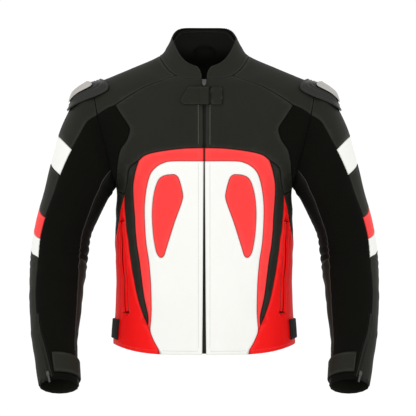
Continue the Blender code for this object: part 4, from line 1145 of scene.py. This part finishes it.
def makeStraps():
    outline = divided(bodySkin, [(64, 12.35), (119, 12.35), (119, 13.5), (64, 13.5), (64, 12.35)], 4)[:-1]
    points, faces, masks, _ = sewnPanel(bodySkin, outline, top=4.3, low=1.4, gap=0.0, pitch=6.0,
                                        thread="darkThread", stitchBody="waist_strap_body")
    addPair("waist_strap", points, faces, "webbing", "waist_strap_body", ["waist_strap"], masks=masks)
    # Raised ribs across the front end of the strap.
    ribs = []
    for angle in (66.5, 71.0, 75.5):
        places, outs = bodySkin.lay([(angle, r) for r in np.linspace(12.42, 13.43, 14)])
        ribs.append(tube(places + outs * 4.2, outs, 0.75, 6))
    points, faces = merged(ribs)
    addPair("waist_strap_ribs", points, faces, "webbing", "waist_strap_body")


makePockets()
makeStraps()
print("pockets and straps made")


# Sleeves: where the outer leather meets the stretch panel, and the stretch panel the inner one
outerEdge = np.array([66, 65, 63, 54, 48, 46, 44, 45, 46, 42, 45, 55, 66], dtype=float)
innerEdge = np.array([132, 131, 130, 130, 128, 132, 134, 137, 140, 146, 152, 155, 158], dtype=float)
sleeveCut = {"rear": -115.0, "bandEnd": -72.0}


def edgeAt(edge, ring):
    return float(spline(edge[:, None], np.array([float(ring)]))[0, 0])


def edgeLine(edge, start, end):
    count = max(1, round(abs(end - start) * 9))
    return [(edgeAt(edge, r), float(r)) for r in np.linspace(start, end, count + 1)]


def bandLine(atFront, outside):
    # A band's edge from its front end round the outside of the arm to its rear end.
    edge = edgeAt(outerEdge, atFront)
    turns = list(np.linspace(edge, 0, 12)) + list(np.linspace(0, sleeveCut["bandEnd"], 16))[1:]
    found = []
    for psi in turns:
        share = psi / edge if psi > 0 else psi / sleeveCut["bandEnd"]
        found.append((float(psi), float(outside + (atFront - outside) * share)))
    return found


def ringLine(start, end, ring):
    return divided(sleeveSkin, [(start, ring), (end, ring)])


def arrange(name, outline, look, zone, replaces, thread=None):
    # A sleeve panel between the torso and the upper arm (zone 0) or between the upper arm and the forearm (zone 1).
    share = elbowShare if zone else shoulderShare
    bodies = ("upper_arm", "forearm") if zone else ("torso", "upper_arm")
    points, faces, masks, rings = sewnPanel(sleeveSkin, outline, pitch=jacket["sleevePitch"], thread=thread,
                                            stitchBody="+".join(bodies), share=share, plain=(splitRing, elbowRing))
    addPair(name, points, faces, look, bodies, replaces, share(rings), masks)
    return points, faces


def makeSleeves():
    white = bandLine(2.32, 2.38), bandLine(3.33, 3.12)
    red = bandLine(5.0, 4.57), bandLine(6.22, 5.64)
    low = bandLine(6.22, 5.64), bandLine(elbowRing, 6.7)
    rear, bandEnd = sleeveCut["rear"], sleeveCut["bandEnd"]

    def rearEnd(band):
        return divided(sleeveSkin, [band[1][-1], band[0][-1]])

    for name, band, look, zone in (("upper_white_band", white, "white", 0), ("red_band", red, "red", 1),
                                   ("lower_white_band", low, "white", 1)):
        outline = join(back(band[0]), edgeLine(outerEdge, band[0][0][1], band[1][0][1]), band[1], rearEnd(band))
        arrange(name, outline, look, zone, [name])
    top = [(a, 0.0) for a in stopsBetween(0, 66)][::-1] + [(a - 360, 0.0) for a in stopsBetween(245, 360)][::-1][1:]
    redTop = back(red[0])
    cutRear = divided(sleeveSkin, [(rear, redTop[0][1]), redTop[0]])
    upperRear = divided(sleeveSkin, [(rear, 0.0), (rear, redTop[0][1])])
    outline = join(top, upperRear, cutRear, redTop, edgeLine(outerEdge, red[0][0][1], white[1][0][1]),
                   white[1], rearEnd(white), back(white[0]), edgeLine(outerEdge, white[0][0][1], 0.0))
    under.append(arrange("sleeve_leather_top", outline, "black", 0, ["sleeve_outer"], "darkThread"))
    lowerRear = divided(sleeveSkin, [(rear, redTop[0][1]), (rear, elbowRing)])
    foot = divided(sleeveSkin, [(rear, elbowRing), low[1][-1]])
    outline = join(lowerRear, foot, rearEnd(low), rearEnd(red), back(cutRear))
    arrange("sleeve_leather_rear", outline, "black", 1, ["sleeve_outer"])

    inner0, outer0 = [edgeLine(edge, 0.0, splitRing) for edge in (innerEdge, outerEdge)]
    split = ringLine(outer0[-1][0], inner0[-1][0], splitRing)
    outline = join(outer0, split, back(inner0), [(a, 0.0) for a in stopsBetween(132, 66)])
    under.append(arrange("sleeve_stretch_top", outline, "stretch", 0, ["sleeve_stretch"]))
    inner1, outer1 = [edgeLine(edge, splitRing, elbowRing) for edge in (innerEdge, outerEdge)]
    elbow = ringLine(outer1[-1][0], inner1[-1][0], elbowRing)
    arrange("sleeve_stretch_low", join(outer1, elbow, back(inner1), back(split)), "stretch", 1, ["sleeve_stretch"])

    rearTop = divided(sleeveSkin, [(rear + 360, 0.0), (rear + 360, splitRing)])
    splitInner = ringLine(inner0[-1][0], rear + 360, splitRing)
    outline = join(inner0, splitInner, back(rearTop), [(a, 0.0) for a in stopsBetween(245, 132)])
    under.append(arrange("sleeve_inner_top", outline, "inner", 0, ["sleeve_inner"]))
    rearLow = divided(sleeveSkin, [(rear + 360, splitRing), (rear + 360, elbowRing)])
    elbowInner = ringLine(inner1[-1][0], rear + 360, elbowRing)
    arrange("sleeve_inner_low", join(inner1, elbowInner, back(rearLow), back(splitInner)), "inner", 1, ["sleeve_inner"])

    inner2, outer2 = [edgeLine(edge, elbowRing, cuffRing) for edge in (innerEdge, outerEdge)]
    cuff = ringLine(inner2[-1][0], outer2[-1][0], cuffRing)
    arrange("forearm_stretch", join(outer2, back(cuff), back(inner2), back(elbow)), "stretch", 1, ["forearm_stretch"])
    around = divided(sleeveSkin, [(outer2[-1][0], cuffRing), (inner2[-1][0] - 360, cuffRing)])
    rearElbow = [(a - 360, r) for a, r in elbowInner]
    last = divided(sleeveSkin, [(rear, elbowRing), low[1][-1]])
    outline = join(outer2, around, [(a - 360, r) for a, r in back(inner2)], rearElbow, last, back(low[1]))
    arrange("forearm_leather", outline, "black", 1, ["forearm_leather"], "darkThread")

    # Grey piping along the inner seam, in one cord for each joint.
    for name, zone, start, end in (("sleeve_piping_top", 0, 0.12, splitRing),
                                   ("sleeve_piping_low", 1, splitRing, 11.0)):
        line = edgeLine(innerEdge, start, end)
        places, outs = sleeveSkin.lay(line)
        points, faces = tube(places - outs * 0.35, outs, 0.8, 6)
        rings = np.repeat([r for _, r in line], 6)
        share = elbowShare if zone else shoulderShare
        bodies = ("upper_arm", "forearm") if zone else ("torso", "upper_arm")
        addPair(name, points, faces, "piping", bodies, (), share(rings))


makeSleeves()
print("sleeves sewn")


# Cuffs
cuff = {"strapTop": 4.3, "strapLow": 1.4, "edgeAt": 3.6, "edgeHalf": 2.6, "edgeHigh": 0.8, "threadAt": 8.5}


def makeCuffs():
    outline = divided(sleeveSkin, [(80, 11.2), (210, 11.2), (210, 11.74), (80, 11.74), (80, 11.2)], 4)[:-1]
    points, faces, masks, _ = sewnPanel(sleeveSkin, outline, top=cuff["strapTop"], low=cuff["strapLow"], gap=0.0,
                                        pitch=5.0, thread="darkThread", stitchBody="cuff_strap_body")
    addPair("cuff_strap", points, faces, "black", "cuff_strap_body", ["cuff_strap"], masks=masks)
    for psi in (90.0, 95.0):
        places, outs = sleeveSkin.lay([(psi, r) for r in np.linspace(11.25, 11.69, 12)])
        stitchRow(places + outs * 4.5, outs, ("darkThread", "cuff_strap_body"))
    line = [(edgeAt(outerEdge, r), r) for r in np.linspace(9.65, 11.9, 50)]
    places, outs = sleeveSkin.lay(line)
    across = sideways(places, outs)
    shares = elbowShare(np.array([r for _, r in line]))
    for side, label in ((-1, "rear"), (1, "front")):
        path = places + across * side * cuff["edgeAt"] + outs * 0.45
        points, faces = swept(path, across, outs, cuff["edgeHalf"], cuff["edgeHigh"], 8)
        addPair("cuff_zip_edge_" + label, points, faces, "black", ("upper_arm", "forearm"), (), np.repeat(shares, 8))
        row = places + across * side * cuff["threadAt"] + outs * 0.15
        stitchRow(row, outs, ("darkThread", "upper_arm+forearm"), shares)
    teeth = []
    for i in range(len(places) - 1):
        spot, out = places[i] + outs[i] * 0.5, outs[i]
        down = places[i + 1] - places[i]
        down /= np.linalg.norm(down)
        shift = np.cross(down, out) * (0.5 if i % 2 else -0.5)
        local = Run(spot + shift, spot + shift + down, out)
        teeth.append(bar(local, roundProfile(1.3, -0.6, 0.6, 0.3, 1), (-0.9, 0.9)))
    points, faces = merged(teeth)
    addPair("cuff_zip_teeth", points, faces, "teeth", "forearm")
    for side in ("left", "right"):
        dress(side + "_cuff_slider", "steel", 0.3)


makeCuffs()
print("cuffs made")


# Shoulder cups
cup = {"rise": 8.0, "flange": 2.4, "gap": 0.9, "sectors": 24, "fine": 120, "thread": 0.93,
       "insert": 0.62, "insertAt": 7.0}
cupCentre = np.array([238.0, 0.0, -95.0])
cupOut = np.array([0.6, 0.0, 0.8])
cupAlong = np.array([0.8, 0.0, -0.6])
cupOutline = [(-42, 0), (-43.5, 28), (-46.5, 50), (-42, 58), (-30, 59), (-8, 54), (12, 48), (30, 42),
              (43, 31), (49, 16), (51, 0)]


def treeOf(parts):
    points, faces = merged(parts)
    return BVHTree.FromPolygons([Vector(p) for p in points], faces)


def heightUnder(tree, along, forward):
    found = []
    for da, db in ((0, 0), (3, 0), (-3, 0), (0, 3), (0, -3)):
        foot = cupCentre + cupAlong * (along + da) + np.array([0, -(forward + db), 0])
        hit = tree.ray_cast(Vector(foot + cupOut * 200), Vector(-cupOut))
        if hit[0] is not None:
            found.append(200 - hit[3])
    return max(found)


def outlineOf(scale, sectors):
    fine = spline(np.array(cupOutline, dtype=float), np.linspace(0, len(cupOutline) - 1, sectors // 2 + 1))
    loop = np.concatenate([fine, fine[-2:0:-1] * (1, -1)])
    return loop * scale


def roundSpline(rows, at):
    # A closed smooth curve through the rows.
    count = len(rows)
    low = np.floor(at).astype(int)
    f = (at - low)[:, None]
    a, b, c, d = [rows[(low + k) % count] for k in (-1, 0, 1, 2)]
    return 0.5 * (2 * b + (c - a) * f + (2 * a - 5 * b + 4 * c - d) * f**2 + (3 * b - a - 3 * c + d) * f**3)


def makeDome(tree, height, radii, shift, shrink, gap, coarse=(0.0, 0.25, 0.5, 0.7, 0.85, 1.0)):
    # Heights over the pieces below are found on a coarse net and drawn smoothly between.
    sectors, fine = cup["sectors"], cup["fine"]
    base = []
    for r in coarse:
        loop = outlineOf(max(r, 1e-3) * shrink, sectors) + shift
        base.append([heightUnder(tree, along, forward) for along, forward in loop])
    base = np.array(base)
    base[0] = base[0].mean()
    turns = np.linspace(0, sectors, fine, endpoint=False)
    waves = np.fft.rfft(base, axis=1)
    waves[:, 5:] = 0
    calm = np.fft.irfft(waves, sectors, axis=1)
    base = calm + 0.5 * np.maximum(0, base - calm).max(axis=1)[:, None]
    wide = np.stack([roundSpline(row[:, None], turns)[:, 0] for row in base])
    index = np.interp(radii, coarse, np.arange(len(coarse)))
    ground = spline(wide, index)
    upper, lower = [], []
    for k, r in enumerate(radii):
        loop = outlineOf(max(r, 1e-4) * shrink, sectors)
        loop = roundSpline(loop, turns) + shift
        for i, (along, forward) in enumerate(loop):
            foot = cupCentre + cupAlong * along + np.array([0, -forward, 0])
            upper.append(foot + cupOut * (ground[k, i] + gap + height(r)))
            lower.append(foot + cupOut * (ground[k, i] + gap))
            if k == 0:
                break
    count = len(upper)
    faces = []
    for i in range(fine):
        j = (i + 1) % fine
        faces.append((0, 1 + i, 1 + j))
        for k in range(len(radii) - 2):
            a, b = 1 + k * fine, 1 + (k + 1) * fine
            faces.append((a + i, b + i, b + j, a + j))
    closed = faces + [tuple(k + count for k in f[::-1]) for f in faces]
    rim = 1 + (len(radii) - 2) * fine
    closed += [(rim + (i + 1) % fine, rim + i, rim + i + count, rim + (i + 1) % fine + count) for i in range(fine)]
    return facingOut(upper + lower, closed)


def cupHeight(r):
    # A flat sewn flange, two ridges that follow its edge, and the dome.
    dome = cup["rise"] * (1 - smooth(0.30, 0.86, r))
    ridge = 1.5 * math.exp(-((r - 0.80) / 0.028) ** 2) + 1.3 * math.exp(-((r - 0.68) / 0.03) ** 2)
    lip = 0.7 * math.exp(-((r - 0.975) / 0.02) ** 2) - 1.2 * float(smooth(0.985, 1.0, r))
    return float(cup["flange"] + dome + ridge + lip)


def insertHeight(r):
    return 1.3 - 0.9 * float(smooth(0.86, 1.0, r)) + 0.5 * math.exp(-((r - 0.86) / 0.04) ** 2)


def armShare(points):
    # How far the leather under each point follows the arm.
    rings = np.arange(0.0, 6.0, 0.25)
    turns = np.arange(-96.0, 96.0, 6.0)
    spots = np.array([(a, r) for r in rings for a in turns])
    near = KDTree(len(spots))
    for i, place in enumerate(sleeveSkin.points(spots)):
        near.insert(Vector(place), i)
    near.balance()
    blur = [near.find_n(Vector(p), 12) for p in points]
    return np.array([np.mean([shoulderShare(spots[i][1]) for _, i, _ in hits]) for hits in blur])


def makeCups():
    tree = treeOf(under)
    pair = ("torso", "upper_arm")
    radii = np.concatenate([[0], np.linspace(0.06, 0.6, 12), np.linspace(0.62, 0.9, 22), np.linspace(0.91, 1.0, 10)])
    points, faces = makeDome(tree, cupHeight, radii, np.array((0.0, 0.0)), 1.0, cup["gap"])
    radial = np.concatenate([[0], np.repeat(radii[1:], cup["fine"])])
    # The ridge crests, which the cup plastic paints lighter: a painted highlight.
    crown = np.exp(-((radial - 0.80) / 0.03) ** 2) + np.exp(-((radial - 0.68) / 0.03) ** 2)
    masks = {"crown": np.tile(crown, 2)}
    addPair("shoulder_cup", points, faces, "cup", pair, ["shoulder_cup"], armShare(points), masks)
    shell = treeOf([(points, faces)])
    row = int(np.argmin(np.abs(radii - cup["thread"])))
    start = 1 + (row - 1) * cup["fine"]
    ring = points[start:start + cup["fine"]] + cupOut * 0.1
    ring = np.concatenate([ring, ring[:1]])
    stitchRow(ring, np.tile(cupOut, (len(ring), 1)), ("darkThread", "torso+upper_arm"), armShare(ring), length=2.8)
    radii = np.concatenate([[0], np.linspace(0.15, 0.8, 8), np.linspace(0.82, 1.0, 10)])
    points, faces = makeDome(shell, insertHeight, radii, np.array((cup["insertAt"], 0.0)), cup["insert"], 0.4)
    addPair("cup_insert", points, faces, "grey", pair, ["cup_insert"], armShare(points))


makeCups()


def makeThread():
    # Left rows are mirrored, and every row of one thread on one body becomes one piece.
    for (look, body), rows in stitches.items():
        points, faces = merged([(p, f) for p, f, _ in rows])
        shares = None if rows[0][2] is None else np.concatenate([s for _, _, s in rows])
        label = "stitching_" + look + "_" + body.replace("+", "_")
        if body == "neck_tab_body":
            addPiece(label, points, faces, look, body)
            continue
        bodies = tuple(body.split("+")) if "+" in body else body
        addPair(label, points, faces, look, bodies, (), shares)


makeThread()
print("cups and stitching made")


# Studio
studio = {"distance": 14.0, "width": 0.832, "centreX": 0.0076, "centreZ": -0.326, "floorZ": -0.80, "sky": 1.05,
          "key": 14.0, "fill": 5.0}


def makeStudio():
    floorMesh = bpy.data.meshes.new("studio_floor")
    floorMesh.from_pydata([(-3, -3, 0), (3, -3, 0), (3, 1.6, 0), (-3, 1.6, 0)], [], [(0, 1, 2, 3)])
    floor = bpy.data.objects.new("studio_floor", floorMesh)
    floor.location.z = studio["floorZ"]
    bpy.context.scene.collection.objects.link(floor)
    paint = Finish("studio_paint", specular=0.1)
    cloud = paint.noise(3.0, 1.0)
    floorMesh.materials.append(paint.use(paint.tint(cloud, (0.93, 0.93, 0.93, 1.0), (0.95, 0.95, 0.95, 1.0)), 0.9))
    world = bpy.data.worlds.new("studio_sky")
    bpy.context.scene.world = world
    world.use_nodes = True
    sky = world.node_tree.nodes["Background"]
    sky.inputs["Color"].default_value = (1, 1, 1, 1)
    sky.inputs["Strength"].default_value = studio["sky"]
    for name, place, size, power in (("key", (-1.3, -2.6, 1.5), 1.6, studio["key"]),
                                     ("fill", (1.8, -2.4, 0.4), 1.8, studio["fill"])):
        lamp = bpy.data.lights.new(name, "AREA")
        lamp.size, lamp.energy = size, power
        holder = bpy.data.objects.new(name, lamp)
        holder.location = place
        holder.rotation_euler = (Vector((0, 0, -0.35)) - Vector(place)).to_track_quat("-Z", "Y").to_euler()
        bpy.context.scene.collection.objects.link(holder)
    lens = bpy.data.cameras.new("camera")
    lens.sensor_width = 36.0
    lens.lens = 36.0 * studio["distance"] / studio["width"]
    lens.clip_end = 50.0
    camera = bpy.data.objects.new("camera", lens)
    camera.location = (studio["centreX"], -studio["distance"] - 0.05, studio["centreZ"])
    camera.rotation_euler = (math.radians(90), 0, 0)
    bpy.context.scene.collection.objects.link(camera)
    bpy.context.scene.camera = camera
    bpy.context.scene.view_settings.view_transform = "Standard"


makeStudio()
print("studio set")
